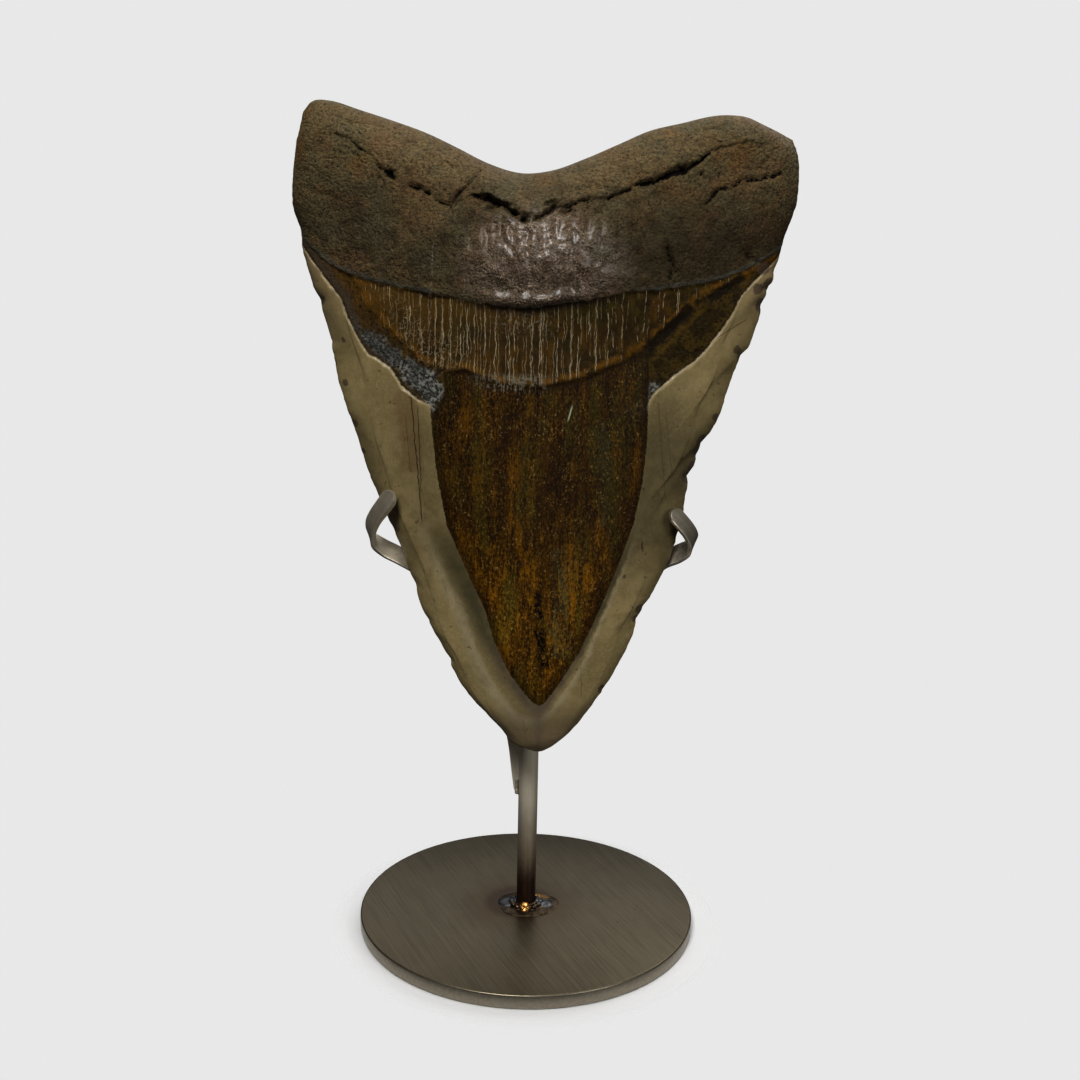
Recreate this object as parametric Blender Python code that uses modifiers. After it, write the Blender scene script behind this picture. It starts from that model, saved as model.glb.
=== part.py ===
"""A fossil megalodon tooth, root up and tip down, held by two hooked strips on a post and a round base.

Lengths named here are in millimetres and are turned into metres where a mesh is made.
+Z is up, the convex (tongue side) face of the tooth looks along -Y, the origin is the middle of the
underside of the base disc.
"""

import math

import bmesh
import bpy
import numpy as np
from mathutils import Vector

MM = 0.001
GAP = 0.3

# Stand
DISC_DIAMETER = 76.2
DISC_THICKNESS = 3.175
DISC_EDGE_BREAK = 0.3
DISC_SIDES = 80
POST_X = -0.1
POST_DIAMETER = 4.35
POST_TOP = 112.0
POST_END_ROUND = 0.6
POST_SIDES = 24
STRIP_WIDTH = 4.1
STRIP_THICKNESS = 1.0
STRIP_EDGE_BREAK = 0.12
STRIP_STATIONS = 44
NOSE_ANGLES = (30, 55, 75, 86)
PATH_SAMPLES = 400
CORNER_DEG = 50
FOOT_WELD_SQUEEZE = 0.8
FOOT_WELD_STEPS = 32
ARM_BEAD_RADII = (0.45, 0.35, 1.9)
ARM_BEAD_ASIDE = 2.65
ARM_BEAD_BEHIND = 1.75
LEFT_BEAD_HEIGHT = 31.6
RIGHT_BEAD_HEIGHT = 48.6

# Tooth: its frame has X across, Y through the thickness and Z along the blade from the tip
TIP_DEPTH = -12.94
TIP_HEIGHT = 46.15
LEAN_BACK_DEG = 3.0
COLUMNS = 38
EDGE_CROWDING = 0.55

# Left and right outline of the tooth, (height, x), from the corner of the blunt tip to the root lobe
LEFT_EDGE = (
    (1.8, -4), (5, -6.4), (10, -11.2), (15, -15.1), (20, -17.6), (25.5, -20.4), (28, -22),
    (38, -25.6), (45, -28.2), (52.5, -31.6), (60, -34.7), (67.5, -37.2), (75, -39.9), (89.5, -43.1),
    (99, -46.3), (104, -47.7), (108, -48.2), (113, -49.8), (118, -49.8), (124, -49.2), (131.2, -47.6),
)
RIGHT_EDGE = (
    (1.3, 5.3), (4, 8.4), (9.6, 12.7), (15, 16.2), (20.3, 19), (25.6, 21.3), (31, 23), (36, 25.8),
    (42, 28.4), (48, 30.2), (55, 31.5), (59, 31.9), (62, 33), (66.6, 34.4), (69, 36.1), (74, 38.2),
    (79, 39.6), (84, 41.5), (86.5, 43), (91.5, 44.8), (96, 45.8), (101, 47.8), (106, 48.7),
    (110.6, 49.9), (115, 51.4), (120, 51.7), (124, 51.5), (127.8, 50.2),
)
# Cross rows of the surface, (x, height)
TIP_ROW = ((-4, 1.8), (-1, 0.5), (2.4, -0.2), (5.3, 1.3))
LEDGE_ROW = (
    (-47.6, 103.6), (-44.5, 100.2), (-39.4, 94.5), (-38, 90.6), (-36, 86.6), (-33, 83.2), (-29.2, 81),
    (-27, 77.6), (-23.6, 75), (-21, 74.6), (-17.5, 79), (-11.7, 78.5), (-3.4, 77.3), (4.8, 78.1),
    (12, 79.6), (18, 79), (22.4, 75.4), (25.4, 78.8), (31.4, 83.5), (35.7, 88.5), (38.6, 92.6),
    (40.4, 96.2), (45.8, 101.2), (48.4, 103.4),
)
ROOT_ROW = (
    (-48.2, 107), (-42.4, 101.9), (-37.3, 99.4), (-27.2, 96.8), (-17, 95), (-6.8, 93.6), (-1.7, 93.4),
    (3.4, 94), (8.5, 94.9), (14.6, 96.3), (26.7, 97.9), (37.8, 100.4), (42.8, 102.8), (48.9, 106.8),
)
FISSURE_ROW = (
    (-49.3, 120.5), (-45, 124.8), (-40.3, 126), (-33.3, 121.7), (-26.7, 117), (-22, 115), (-17.4, 113),
    (-12.6, 114.6), (-7, 112.5), (-2.4, 109.9), (4, 112.5), (12, 114.2), (20, 117.5), (28, 120.4),
    (32.8, 123.4), (39.7, 125.6), (45, 124.8), (51.3, 120.5),
)
TOP_ROW = (
    (-47.6, 131.2), (-45.8, 133.2), (-42.6, 133.5), (-36, 131.7), (-29.6, 129.8), (-23.2, 127.7),
    (-16.8, 124.9), (-10.4, 121.9), (-3.9, 120.2), (2.5, 120.9), (8.9, 123.3), (15.2, 126.1),
    (21.5, 128.9), (27.8, 130.5), (34.1, 132), (37.5, 132.2), (40.5, 131.9), (43.8, 130.6),
    (47, 129.3), (50.2, 127.8),
)
# Levels: 0 tip, 1 enamel ledge, 2 lower border of the root, 3 fissure, 4 top of the root
CROWN_STEPS = 21
BAND_LEVELS = (1.1, 1.4, 1.7, 1.93)
ROOT_LEVELS = (2.0, 2.06, 2.2, 2.36, 2.52, 2.68, 2.86, 2.95, 3.0, 3.06)
TOP_LEVELS = (3.25, 3.45, 3.65, 3.82, 3.94, 4.0)

# Depth of the middle of the blade in front of and behind its edges, (height, depth)
CROWN_FRONT = (
    (-0.2, 0), (1.5, 1.9), (6, 4.2), (12, 6), (25, 8.4), (45, 10.6), (65, 12), (80, 13), (96, 13.6),
)
CROWN_BACK = ((-0.2, 0), (1.5, 1.2), (8, 2.6), (20, 3.8), (45, 5.5), (66, 6.8), (85, 6), (100, 5))
CROWN_ROUNDING = 0.85
ROOT_FRONT = 10.5
ROOT_BACK = 4.7
ROOT_SQUARENESS = 3.2
ROOT_BLEND = (80.0, 106.0)
BULGE_HEIGHT = 6.5
BULGE_CENTRE = (1.0, 101.0)
BULGE_SPREAD = (19.0, 13.0)
LIP_SIDES = 0.5
LIP_MIDDLE = 0.9
LIP_SPREAD = 20.0
LEDGE_RECESS = 0.7
LEDGE_INNER = 20.0
# How far the fissure along the third row is sunk, (x, depth)
FISSURE_DEPTH = (
    (-50, 0), (-42, 0.2), (-38, 1.1), (-30, 2.2), (-18, 1.7), (-15, 0.6), (-11, 2.3), (-3, 3.4),
    (8, 2.6), (20, 2.1), (29, 2.1), (35, 0.9), (42, 0.6), (46, 0), (52, 0),
)
FISSURE_SPREAD = 0.06
# Smaller cracks: points along the crack, half-width, depth
CRACKS = (
    (((-17.4, 112.6), (-14.5, 116.2), (-11.2, 119.4)), 1.1, 0.7),
    (((32, 114.6), (36, 117), (40, 118.9), (46.5, 120)), 1.1, 0.9),
    (((24.6, 107), (25.1, 104), (26, 101.5), (25.5, 99.5)), 0.9, 0.6),
)
# Vertical wrinkles of the bulge: x, top and bottom height, depth
WRINKLES = (
    (-6.5, 111, 100, 0.5), (-1.2, 109, 99, 0.6), (4.8, 112, 104, 0.5), (10.5, 113, 104, 0.5),
)
WRINKLE_WIDTH = 0.9
# Broken lumps that stand proud or sink in the root, (x, height, spread, rise)
LUMPS = (
    (-36, 118, 6, 0.8), (-22, 106, 7, 0.7), (-40, 109, 5, -0.6), (30, 108, 7, 0.7), (41, 112, 5, 0.8),
    (20, 103, 5, -0.5), (-12, 101, 4, -0.4), (38, 104, 4, -0.5), (-30, 103, 4, 0.4), (14, 109, 4, 0.5),
)

# Middle line of each strip, from the foot on the post to the tip of the hook, and which way its width lies
LEFT_PATH = (
    ((-1.2, 3.0, 28.9), (1, 0, 0.15)),
    ((-3.4, 3.0, 44.6), (1, 0, 0.2)),
    ((-7.6, 2.0, 60.0), (0.95, 0.05, 0.4)),
    ((-15.5, -0.8, 75.0), (0.75, 0.3, 0.6)),
    ((-23.0, -6.0, 83.5), (0.4, 0.65, 0.6)),
    ((-27.8, -8.5, 87.2), (0.15, 0.6, 0.8)),
    ((-31.4, -9.4, 89.3), (-0.1, 0.58, 0.82)),
    ((-33.7, -10.7, 91.5), (-0.3, 0.55, 0.75)),
    ((-33.9, -12.2, 94.1), (-0.4, 0.65, 0.6)),
    ((-32.7, -13.9, 96.8), (-0.5, 0.7, 0.5)),
    ((-30.7, -15.4, 99.6), (-0.6, 0.65, 0.35)),
    ((-28.6, -16.35, 102.5), (-0.7, 0.6, 0.3)),
)
RIGHT_PATH = (
    ((1.7, 3.0, 46.0), (-1, 0, 0.25)),
    ((3.6, 3.0, 54.0), (-0.95, 0, 0.3)),
    ((8.2, 1.8, 64.5), (-0.9, 0.1, 0.45)),
    ((15.2, -0.9, 75.0), (-0.75, 0.3, 0.6)),
    ((22.4, -5.4, 82.8), (-0.4, 0.65, 0.6)),
    ((27.2, -7.8, 87.4), (-0.15, 0.55, 0.85)),
    ((30.6, -9.0, 89.3), (0.1, 0.5, 0.88)),
    ((32.8, -10.2, 91.0), (0.3, 0.55, 0.75)),
    ((33.3, -11.6, 92.7), (0.4, 0.65, 0.6)),
    ((32.3, -12.9, 94.9), (0.5, 0.7, 0.5)),
    ((30.4, -13.9, 97.2), (0.6, 0.65, 0.35)),
    ((28.2, -14.5, 99.5), (0.7, 0.6, 0.3)),
)
# Section of the foot weld, (radius, height above the disc)
FOOT_WELD_PROFILE = (
    (2.5, 1.7), (2.7, 1.6), (3.2, 1.15), (4.2, 0.8), (6.2, 0.6), (6.9, 0.65), (7.35, 0.5),
    (7.3, 0.32), (2.5, 0.32),
)


def clear_scene():
    for thing in list(bpy.data.objects):
        bpy.data.objects.remove(thing, do_unlink=True)


def material(name, colour, roughness, metallic):
    made = bpy.data.materials.new(name)
    made.use_nodes = True
    shader = made.node_tree.nodes["Principled BSDF"]
    shader.inputs["Base Color"].default_value = (*colour, 1)
    shader.inputs["Roughness"].default_value = roughness
    shader.inputs["Metallic"].default_value = metallic
    return made


def linear(points, at):
    """Straight lines between the points, read at a first value."""
    keys, values = np.array(points, float).T
    return np.interp(at, keys, values)


def smoothstep(low, high, value):
    t = np.clip((value - low) / (high - low), 0, 1)
    return t * t * (3 - 2 * t)


def spread_columns(count):
    """Shares across the tooth from 0 to 1, closer together near both edges."""
    even = np.linspace(0, 1, count + 1)
    crowded = 0.5 - 0.5 * np.cos(math.pi * even)
    return even + EDGE_CROWDING * (crowded - even)


def row_points(row, shares):
    ends = np.array(row, float)
    x = ends[0, 0] + shares * (ends[-1, 0] - ends[0, 0])
    return np.stack([x, linear(row, x)], axis=-1)


def place(shares, level):
    """Points of one row of the outline plane: rows blended upwards, then pulled to both side edges."""
    rows = (TIP_ROW, LEDGE_ROW, ROOT_ROW, FISSURE_ROW, TOP_ROW)
    below = min(int(level), len(rows) - 2)
    part = level - below
    points = (1 - part) * row_points(rows[below], shares) + part * row_points(rows[below + 1], shares)
    left = np.array([linear(LEFT_EDGE, points[0, 1]), points[0, 1]])
    right = np.array([linear(RIGHT_EDGE, points[-1, 1]), points[-1, 1]])
    pull_left = np.outer(1 - shares, left - points[0])
    pull_right = np.outer(shares, right - points[-1])
    return points + pull_left + pull_right


def distance_to(path, x, z):
    """Shortest distance from each point to a broken line."""
    best = np.full(np.shape(x), np.inf)
    for (ax, az), (bx, bz) in zip(path, path[1:]):
        length_squared = (bx - ax) ** 2 + (bz - az) ** 2
        along = np.clip(((x - ax) * (bx - ax) + (z - az) * (bz - az)) / length_squared, 0, 1)
        best = np.minimum(best, np.hypot(x - ax - along * (bx - ax), z - az - along * (bz - az)))
    return best


def side_profile(offset, power, rounding):
    """1 in the middle of a row, falling to 0 at its two edges."""
    return np.power(np.clip(1 - np.power(offset, power), 0, 1), rounding)


def front_depth(shares, level, x, z):
    offset = np.abs(2 * shares - 1)
    crown = linear(CROWN_FRONT, z) * side_profile(offset, 2, CROWN_ROUNDING)
    across = (x - BULGE_CENTRE[0]) / BULGE_SPREAD[0]
    up = (z - BULGE_CENTRE[1]) / BULGE_SPREAD[1]
    bulge = BULGE_HEIGHT * np.exp(-(across**2) - up**2)
    profile = side_profile(offset, ROOT_SQUARENESS, 0.5)
    root = (ROOT_FRONT + bulge) * profile
    depth = crown + smoothstep(*ROOT_BLEND, z) * (root - crown)
    lip = LIP_SIDES + LIP_MIDDLE * np.exp(-((x / LIP_SPREAD) ** 2))
    if level >= 2:
        depth = depth + lip * profile
    elif level > 1:
        beside = smoothstep(LEDGE_INNER - 4, LEDGE_INNER + 2, np.abs(x))
        depth = depth - LEDGE_RECESS * beside * profile
    sunk = linear(FISSURE_DEPTH, x) * np.exp(-(((level - 3) / FISSURE_SPREAD) ** 2))
    for path, half_width, deep in CRACKS:
        sunk = sunk + deep * np.exp(-((distance_to(path, x, z) / half_width) ** 2))
    for middle, top, bottom, deep in WRINKLES:
        apart = distance_to(((middle, top), (middle, bottom)), x, z)
        sunk = sunk + deep * np.exp(-((apart / WRINKLE_WIDTH) ** 2))
    raised = 0
    if level > 2:
        for lump_x, lump_z, spread, rise in LUMPS:
            squared = (x - lump_x) ** 2 + (z - lump_z) ** 2
            raised = raised + rise * np.exp(-squared / spread**2)
    depth = depth + (raised - sunk) * profile
    return depth * over_the_top(level)


def back_depth(shares, level, x, z):
    offset = np.abs(2 * shares - 1)
    crown = linear(CROWN_BACK, z) * side_profile(offset, 2, CROWN_ROUNDING)
    root = ROOT_BACK * side_profile(offset, ROOT_SQUARENESS, 0.5)
    return (crown + smoothstep(*ROOT_BLEND, z) * (root - crown)) * over_the_top(level)


def over_the_top(level):
    """The root's top face turns over from the fissure to the top edge."""
    return math.sqrt(max(0.0, 1 - max(0.0, level - 3) ** 2))


def tooth_grid():
    shares = spread_columns(COLUMNS)
    crown_levels = [step / CROWN_STEPS for step in range(CROWN_STEPS + 1)]
    levels = (*crown_levels, *BAND_LEVELS, *ROOT_LEVELS, *TOP_LEVELS)
    front = []
    back = []
    for level in levels:
        points = place(shares, level)
        x, z = points[:, 0], points[:, 1]
        front.append(np.stack([x, -front_depth(shares, level, x, z), z], axis=-1))
        back.append(np.stack([x, back_depth(shares, level, x, z), z], axis=-1))
    front, back = np.array(front), np.array(back)
    rim = np.zeros(front.shape[:2], bool)
    rim[[0, -1], :] = True
    rim[:, [0, -1]] = True
    front[rim, 1] = 0
    return front, back, rim


def tooth_mesh():
    """Front and back sheets that share every point of their common outline."""
    front, back, rim = tooth_grid()
    rows, columns = rim.shape
    points = [Vector(point) * MM for point in front.reshape(-1, 3)]
    front_index = np.arange(rows * columns).reshape(rows, columns)
    back_index = front_index.copy()
    for row, column in zip(*np.nonzero(~rim)):
        back_index[row, column] = len(points)
        points.append(Vector(back[row, column]) * MM)
    faces = []
    for row in range(rows - 1):
        for column in range(columns - 1):
            corners = ((row, column), (row, column + 1), (row + 1, column + 1), (row + 1, column))
            faces.append([int(front_index[corner]) for corner in corners])
            faces.append([int(back_index[corner]) for corner in reversed(corners)])
    mesh = bpy.data.meshes.new("tooth")
    mesh.from_pydata(points, [], faces)
    return mesh


def add(name, mesh, surface, collection):
    made = bpy.data.objects.new(name, mesh)
    mesh.materials.clear()
    mesh.materials.append(surface)
    collection.objects.link(made)
    return made


def smooth(thing, degrees):
    mesh = thing.data
    mesh.shade_smooth()
    mesh.set_sharp_from_angle(angle=math.radians(degrees))


def curve_point(points, at):
    """A smooth curve (Catmull-Rom) through the points; whole numbers are the points themselves."""
    first = min(int(at), len(points) - 2)
    part = at - first
    before = points[max(first - 1, 0)]
    start = points[first]
    end = points[first + 1]
    after = points[min(first + 2, len(points) - 1)]
    return 0.5 * (
        2 * start
        + (end - before) * part
        + (2 * before - 5 * start + 4 * end - after) * part**2
        + (3 * start - before - 3 * end + after) * part**3
    )


def strip_mesh(name, path):
    """A ribbon along the path with a rounded far end, to be thickened."""
    middles = [Vector(middle) for middle, _ in path]
    widths = [Vector(width).normalized() for _, width in path]
    last = len(path) - 1
    stations = [curve_point(middles, last * i / PATH_SAMPLES) for i in range(PATH_SAMPLES + 1)]
    steps = [(b - a).length for a, b in zip(stations, stations[1:])]
    lengths = np.concatenate([[0], np.cumsum(steps)])
    radius = STRIP_WIDTH / 2
    whole = lengths[-1]
    body = np.linspace(0, whole - radius, STRIP_STATIONS + 1)
    nose = whole - radius + radius * np.sin(np.radians(NOSE_ANGLES))
    made = bmesh.new()
    previous = None
    for distance in (*body, *nose):
        at = last * float(np.interp(distance, lengths, np.linspace(0, 1, PATH_SAMPLES + 1)))
        middle = curve_point(middles, at)
        ahead = curve_point(middles, min(at + 0.02, last))
        behind = curve_point(middles, max(at - 0.02, 0))
        along = (ahead - behind).normalized()
        width = curve_point(widths, at)
        width = (width - along * width.dot(along)).normalized()
        past = max(0.0, distance - (whole - radius))
        half = math.sqrt(max(0.0, radius**2 - past**2))
        pair = [made.verts.new((middle + width * side * half) * MM) for side in (-1, 1)]
        if previous:
            made.faces.new((previous[0], previous[1], pair[1], pair[0]))
        previous = pair
    bmesh.ops.recalc_face_normals(made, faces=made.faces)
    mesh = bpy.data.meshes.new(name)
    made.to_mesh(mesh)
    made.free()
    return mesh


def thicken(thing):
    solid = thing.modifiers.new("Thickness", "SOLIDIFY")
    solid.thickness = STRIP_THICKNESS * MM
    solid.offset = 0
    solid.use_even_offset = True
    break_edges(thing, STRIP_EDGE_BREAK, 1)


def round_bar(name, diameter, length, sides):
    """An upright round bar, centred on its own origin."""
    made = bmesh.new()
    radius = diameter / 2 * MM
    bmesh.ops.create_cone(
        made, cap_ends=True, segments=sides, radius1=radius, radius2=radius, depth=length * MM
    )
    mesh = bpy.data.meshes.new(name)
    made.to_mesh(mesh)
    made.free()
    return mesh


def break_edges(thing, width, segments):
    edge = thing.modifiers.new("Edge break", "BEVEL")
    edge.width = width * MM
    edge.segments = segments
    edge.limit_method = "ANGLE"
    edge.angle_limit = math.radians(CORNER_DEG)


def foot_weld_mesh():
    """The weld's section turned about the post and squeezed a little front to back."""
    made = bmesh.new()
    ring = [made.verts.new((radius * MM, 0, height * MM)) for radius, height in FOOT_WELD_PROFILE]
    edges = [made.edges.new((a, b)) for a, b in zip(ring, ring[1:] + ring[:1])]
    bmesh.ops.spin(
        made,
        geom=ring + edges,
        axis=(0, 0, 1),
        angle=2 * math.pi,
        steps=FOOT_WELD_STEPS,
        use_merge=True,
    )
    bmesh.ops.remove_doubles(made, verts=made.verts, dist=0.01 * MM)
    radii = [radius for radius, _ in FOOT_WELD_PROFILE]
    for point in made.verts:
        radius = math.hypot(point.co.x, point.co.y) / MM
        outward = (radius - min(radii)) / (max(radii) - min(radii))
        point.co.y *= 1 - outward * (1 - FOOT_WELD_SQUEEZE)
    bmesh.ops.recalc_face_normals(made, faces=made.faces)
    mesh = bpy.data.meshes.new("foot_weld")
    made.to_mesh(mesh)
    made.free()
    return mesh


def bead_mesh(name):
    made = bmesh.new()
    bmesh.ops.create_uvsphere(made, u_segments=12, v_segments=8, radius=MM)
    bmesh.ops.scale(made, vec=ARM_BEAD_RADII, verts=made.verts)
    mesh = bpy.data.meshes.new(name)
    made.to_mesh(mesh)
    made.free()
    return mesh


def main():
    clear_scene()
    collection = bpy.data.collections.new("Megalodon tooth on stand")
    bpy.context.scene.collection.children.link(collection)

    fossil = material("Fossil tooth", (0.085, 0.07, 0.04), 0.4, 0.0)
    plate = material("Brushed plate", (0.17, 0.155, 0.135), 0.4, 0.9)
    rod = material("Steel rod", (0.22, 0.205, 0.18), 0.38, 0.9)
    left_strip = material("Left steel strip", (0.2, 0.185, 0.165), 0.4, 0.9)
    right_strip = material("Right steel strip", (0.2, 0.185, 0.165), 0.4, 0.9)
    puddle = material("Foot weld metal", (0.17, 0.15, 0.14), 0.3, 0.95)
    left_bead = material("Left weld bead", (0.2, 0.18, 0.16), 0.35, 0.95)
    right_bead = material("Right weld bead", (0.2, 0.18, 0.16), 0.35, 0.95)

    tooth = add("tooth", tooth_mesh(), fossil, collection)
    tooth.location = (0, TIP_DEPTH * MM, TIP_HEIGHT * MM)
    tooth.rotation_euler = (-math.radians(LEAN_BACK_DEG), 0, 0)
    smooth(tooth, 50)

    disc_mesh = round_bar("base_disc", DISC_DIAMETER, DISC_THICKNESS, DISC_SIDES)
    disc = add("base_disc", disc_mesh, plate, collection)
    disc.location = (0, 0, DISC_THICKNESS / 2 * MM)
    break_edges(disc, DISC_EDGE_BREAK, 2)
    smooth(disc, 40)

    post_foot = DISC_THICKNESS + GAP
    post_mesh = round_bar("post", POST_DIAMETER, POST_TOP - post_foot, POST_SIDES)
    post = add("post", post_mesh, rod, collection)
    post.location = (POST_X * MM, 0, (POST_TOP + post_foot) / 2 * MM)
    break_edges(post, POST_END_ROUND, 2)
    smooth(post, 40)

    arms = (("left_arm", LEFT_PATH, left_strip), ("right_arm", RIGHT_PATH, right_strip))
    for name, path, surface in arms:
        arm = add(name, strip_mesh(name, path), surface, collection)
        thicken(arm)
        smooth(arm, 40)

    weld = add("foot_weld", foot_weld_mesh(), puddle, collection)
    weld.location = (POST_X * MM, 0, DISC_THICKNESS * MM)
    smooth(weld, 60)

    for name, surface, side, height in (
        ("left_weld", left_bead, -1, LEFT_BEAD_HEIGHT),
        ("right_weld", right_bead, 1, RIGHT_BEAD_HEIGHT),
    ):
        bead = add(name, bead_mesh(name), surface, collection)
        bead.location = Vector((POST_X + side * ARM_BEAD_ASIDE, ARM_BEAD_BEHIND, height)) * MM
        smooth(bead, 60)


main()
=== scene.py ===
"""The fossil megalodon tooth on its stand: finished surfaces, floor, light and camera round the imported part.

Lengths are in millimetres and become metres where a mesh is made. The lights and the point that they look at
are given in metres. The tooth is worked out on its own plane: x across, height along the blade from the tip,
depth through the thickness.
"""

import math

import bmesh
import bpy
import numpy as np
from mathutils import Matrix, Vector


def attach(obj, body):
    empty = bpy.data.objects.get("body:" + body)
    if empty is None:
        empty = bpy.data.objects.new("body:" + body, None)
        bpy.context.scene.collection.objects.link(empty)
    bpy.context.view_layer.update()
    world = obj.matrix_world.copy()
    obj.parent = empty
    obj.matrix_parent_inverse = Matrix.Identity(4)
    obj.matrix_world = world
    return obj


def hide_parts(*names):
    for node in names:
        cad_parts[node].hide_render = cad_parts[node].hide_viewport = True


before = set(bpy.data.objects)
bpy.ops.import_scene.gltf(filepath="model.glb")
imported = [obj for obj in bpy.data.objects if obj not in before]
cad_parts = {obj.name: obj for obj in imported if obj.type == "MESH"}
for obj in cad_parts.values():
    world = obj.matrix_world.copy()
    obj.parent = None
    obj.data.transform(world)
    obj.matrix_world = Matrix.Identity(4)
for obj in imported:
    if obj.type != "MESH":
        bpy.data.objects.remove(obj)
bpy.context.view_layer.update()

MM = 0.001
PER_METRE = 1000

# ---------------------------------------------------------------- sizes of the stand
DISC_RADIUS = 38.1
DISC_THICKNESS = 3.175
POST_X = -0.1
POST_RADIUS = 2.175
POST_TOP = 112.0
STRIP_WIDTH = 4.1
STRIP_THICKNESS = 1.0
GAP = 0.3
DISC_RIM, POST_RIM = 0.35, 0.6
DISC_SIDES, POST_SIDES = 256, 64
COLLAR_RADIUS, COLLAR_HEIGHT = 3.0, 4.0
BRUSH_ACROSS, BRUSH_ALONG = 0.42, 0.91
# The strips' middle lines and the directions of their width, from the post to the hooks' ends
LEFT_PATH = (
    ((-1.2, 3.0, 28.9), (1, 0, 0.15)),
    ((-3.4, 3.0, 44.6), (1, 0, 0.2)),
    ((-7.6, 2.0, 60.0), (0.95, 0.05, 0.4)),
    ((-15.5, -0.8, 75.0), (0.75, 0.3, 0.6)),
    ((-23.0, -6.0, 83.5), (0.4, 0.65, 0.6)),
    ((-27.8, -8.5, 87.2), (0.15, 0.6, 0.8)),
    ((-31.4, -9.4, 89.3), (-0.1, 0.58, 0.82)),
    ((-33.7, -10.7, 91.5), (-0.3, 0.55, 0.75)),
    ((-33.9, -12.2, 94.1), (-0.4, 0.65, 0.6)),
    ((-32.7, -13.9, 96.8), (-0.5, 0.7, 0.5)),
    ((-30.7, -15.4, 99.6), (-0.6, 0.65, 0.35)),
    ((-28.6, -16.35, 102.5), (-0.7, 0.6, 0.3)),
)
RIGHT_PATH = (
    ((1.7, 3.0, 46.0), (-1, 0, 0.25)),
    ((3.6, 3.0, 54.0), (-0.95, 0, 0.3)),
    ((8.2, 1.8, 64.5), (-0.9, 0.1, 0.45)),
    ((15.2, -0.9, 75.0), (-0.75, 0.3, 0.6)),
    ((22.4, -5.4, 82.8), (-0.4, 0.65, 0.6)),
    ((27.2, -7.8, 87.4), (-0.15, 0.55, 0.85)),
    ((30.6, -9.0, 89.3), (0.1, 0.5, 0.88)),
    ((32.8, -10.2, 91.0), (0.3, 0.55, 0.75)),
    ((33.3, -11.6, 92.7), (0.4, 0.65, 0.6)),
    ((32.3, -12.9, 94.9), (0.5, 0.7, 0.5)),
    ((30.4, -13.9, 97.2), (0.6, 0.65, 0.35)),
    ((28.2, -14.5, 99.5), (0.7, 0.6, 0.3)),
)
# Round puddles of the foot weld: x, y, radius, rise
PUDDLES = ((-4.2, 0.4, 2.2, 0.4), (3.7, 0.4, 2.3, 0.35), (-0.3, -2.95, 1.05, 0.6), (1.6, 4.2, 1.6, 0.2))
BEAD_DROPS = 7
BEAD_ASIDE = 2.65
BEAD_BACK = 1.75
BEAD_HALF_LENGTH = 1.45
# The foot weld's height from the post outwards: share of the way, height
PUDDLE_PROFILE = ((0, 0.08, 0.2, 0.4, 0.75, 0.93, 1), (1.35, 1.2, 0.75, 0.4, 0.26, 0.13, 0.03))
# Small welds of the strips: visual piece, piece that it stands for, side of the post, height, seed
BEADS = (("left_bead", "left_weld", -1, 31.6, 5), ("right_bead", "right_weld", 1, 48.6, 8))
# Colours of the steel
STEEL = (0.162, 0.137, 0.092)
OILED_STEEL = (0.9, 0.81, 0.64)
HEAT_BROWN = (0.1, 0.058, 0.026)
HEAT_DARK = (0.034, 0.011, 0.006)

# ---------------------------------------------------------------- the tooth's outline and rows
TIP_DEPTH = -12.94
TIP_HEIGHT = 46.15
LEAN_BACK = math.radians(3.0)
LEFT_EDGE = (
    (1.8, -4), (5, -6.4), (10, -11.2), (15, -15.1), (20, -17.6), (25.5, -20.4), (28, -22),
    (38, -25.6), (45, -28.2), (52.5, -31.6), (60, -34.7), (67.5, -37.2), (75, -39.9), (89.5, -43.1),
    (99, -46.3), (104, -47.7), (108, -48.2), (113, -49.8), (118, -49.8), (124, -49.2), (131.2, -47.6),
)
RIGHT_EDGE = (
    (1.3, 5.3), (4, 8.4), (9.6, 12.7), (15, 16.2), (20.3, 19), (25.6, 21.3), (31, 23), (36, 25.8),
    (42, 28.4), (48, 30.2), (55, 31.5), (59, 31.9), (62, 33), (66.6, 34.4), (69, 36.1), (74, 38.2),
    (79, 39.6), (84, 41.5), (86.5, 43), (91.5, 44.8), (96, 45.8), (101, 47.8), (106, 48.7),
    (110.6, 49.9), (115, 51.4), (120, 51.7), (124, 51.5), (127.8, 50.2),
)
TIP_ROW = ((-4, 1.8), (-1, 0.5), (2.4, -0.2), (5.3, 1.3))
LEDGE_ROW = (
    (-47.6, 103.6), (-44.5, 100.2), (-39.4, 94.5), (-38, 90.6), (-36, 86.6), (-33, 83.2), (-29.2, 81),
    (-27, 77.6), (-23.6, 75), (-21, 74.6), (-17.5, 79), (-11.7, 78.5), (-3.4, 77.3), (4.8, 78.1),
    (12, 79.6), (18, 79), (22.4, 75.4), (25.4, 78.8), (31.4, 83.5), (35.7, 88.5), (38.6, 92.6),
    (40.4, 96.2), (45.8, 101.2), (48.4, 103.4),
)
ROOT_ROW = (
    (-48.2, 107), (-42.4, 101.9), (-37.3, 99.4), (-27.2, 96.8), (-17, 95), (-6.8, 93.6), (-1.7, 93.4),
    (3.4, 94), (8.5, 94.9), (14.6, 96.3), (26.7, 97.9), (37.8, 100.4), (42.8, 102.8), (48.9, 106.8),
)
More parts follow.
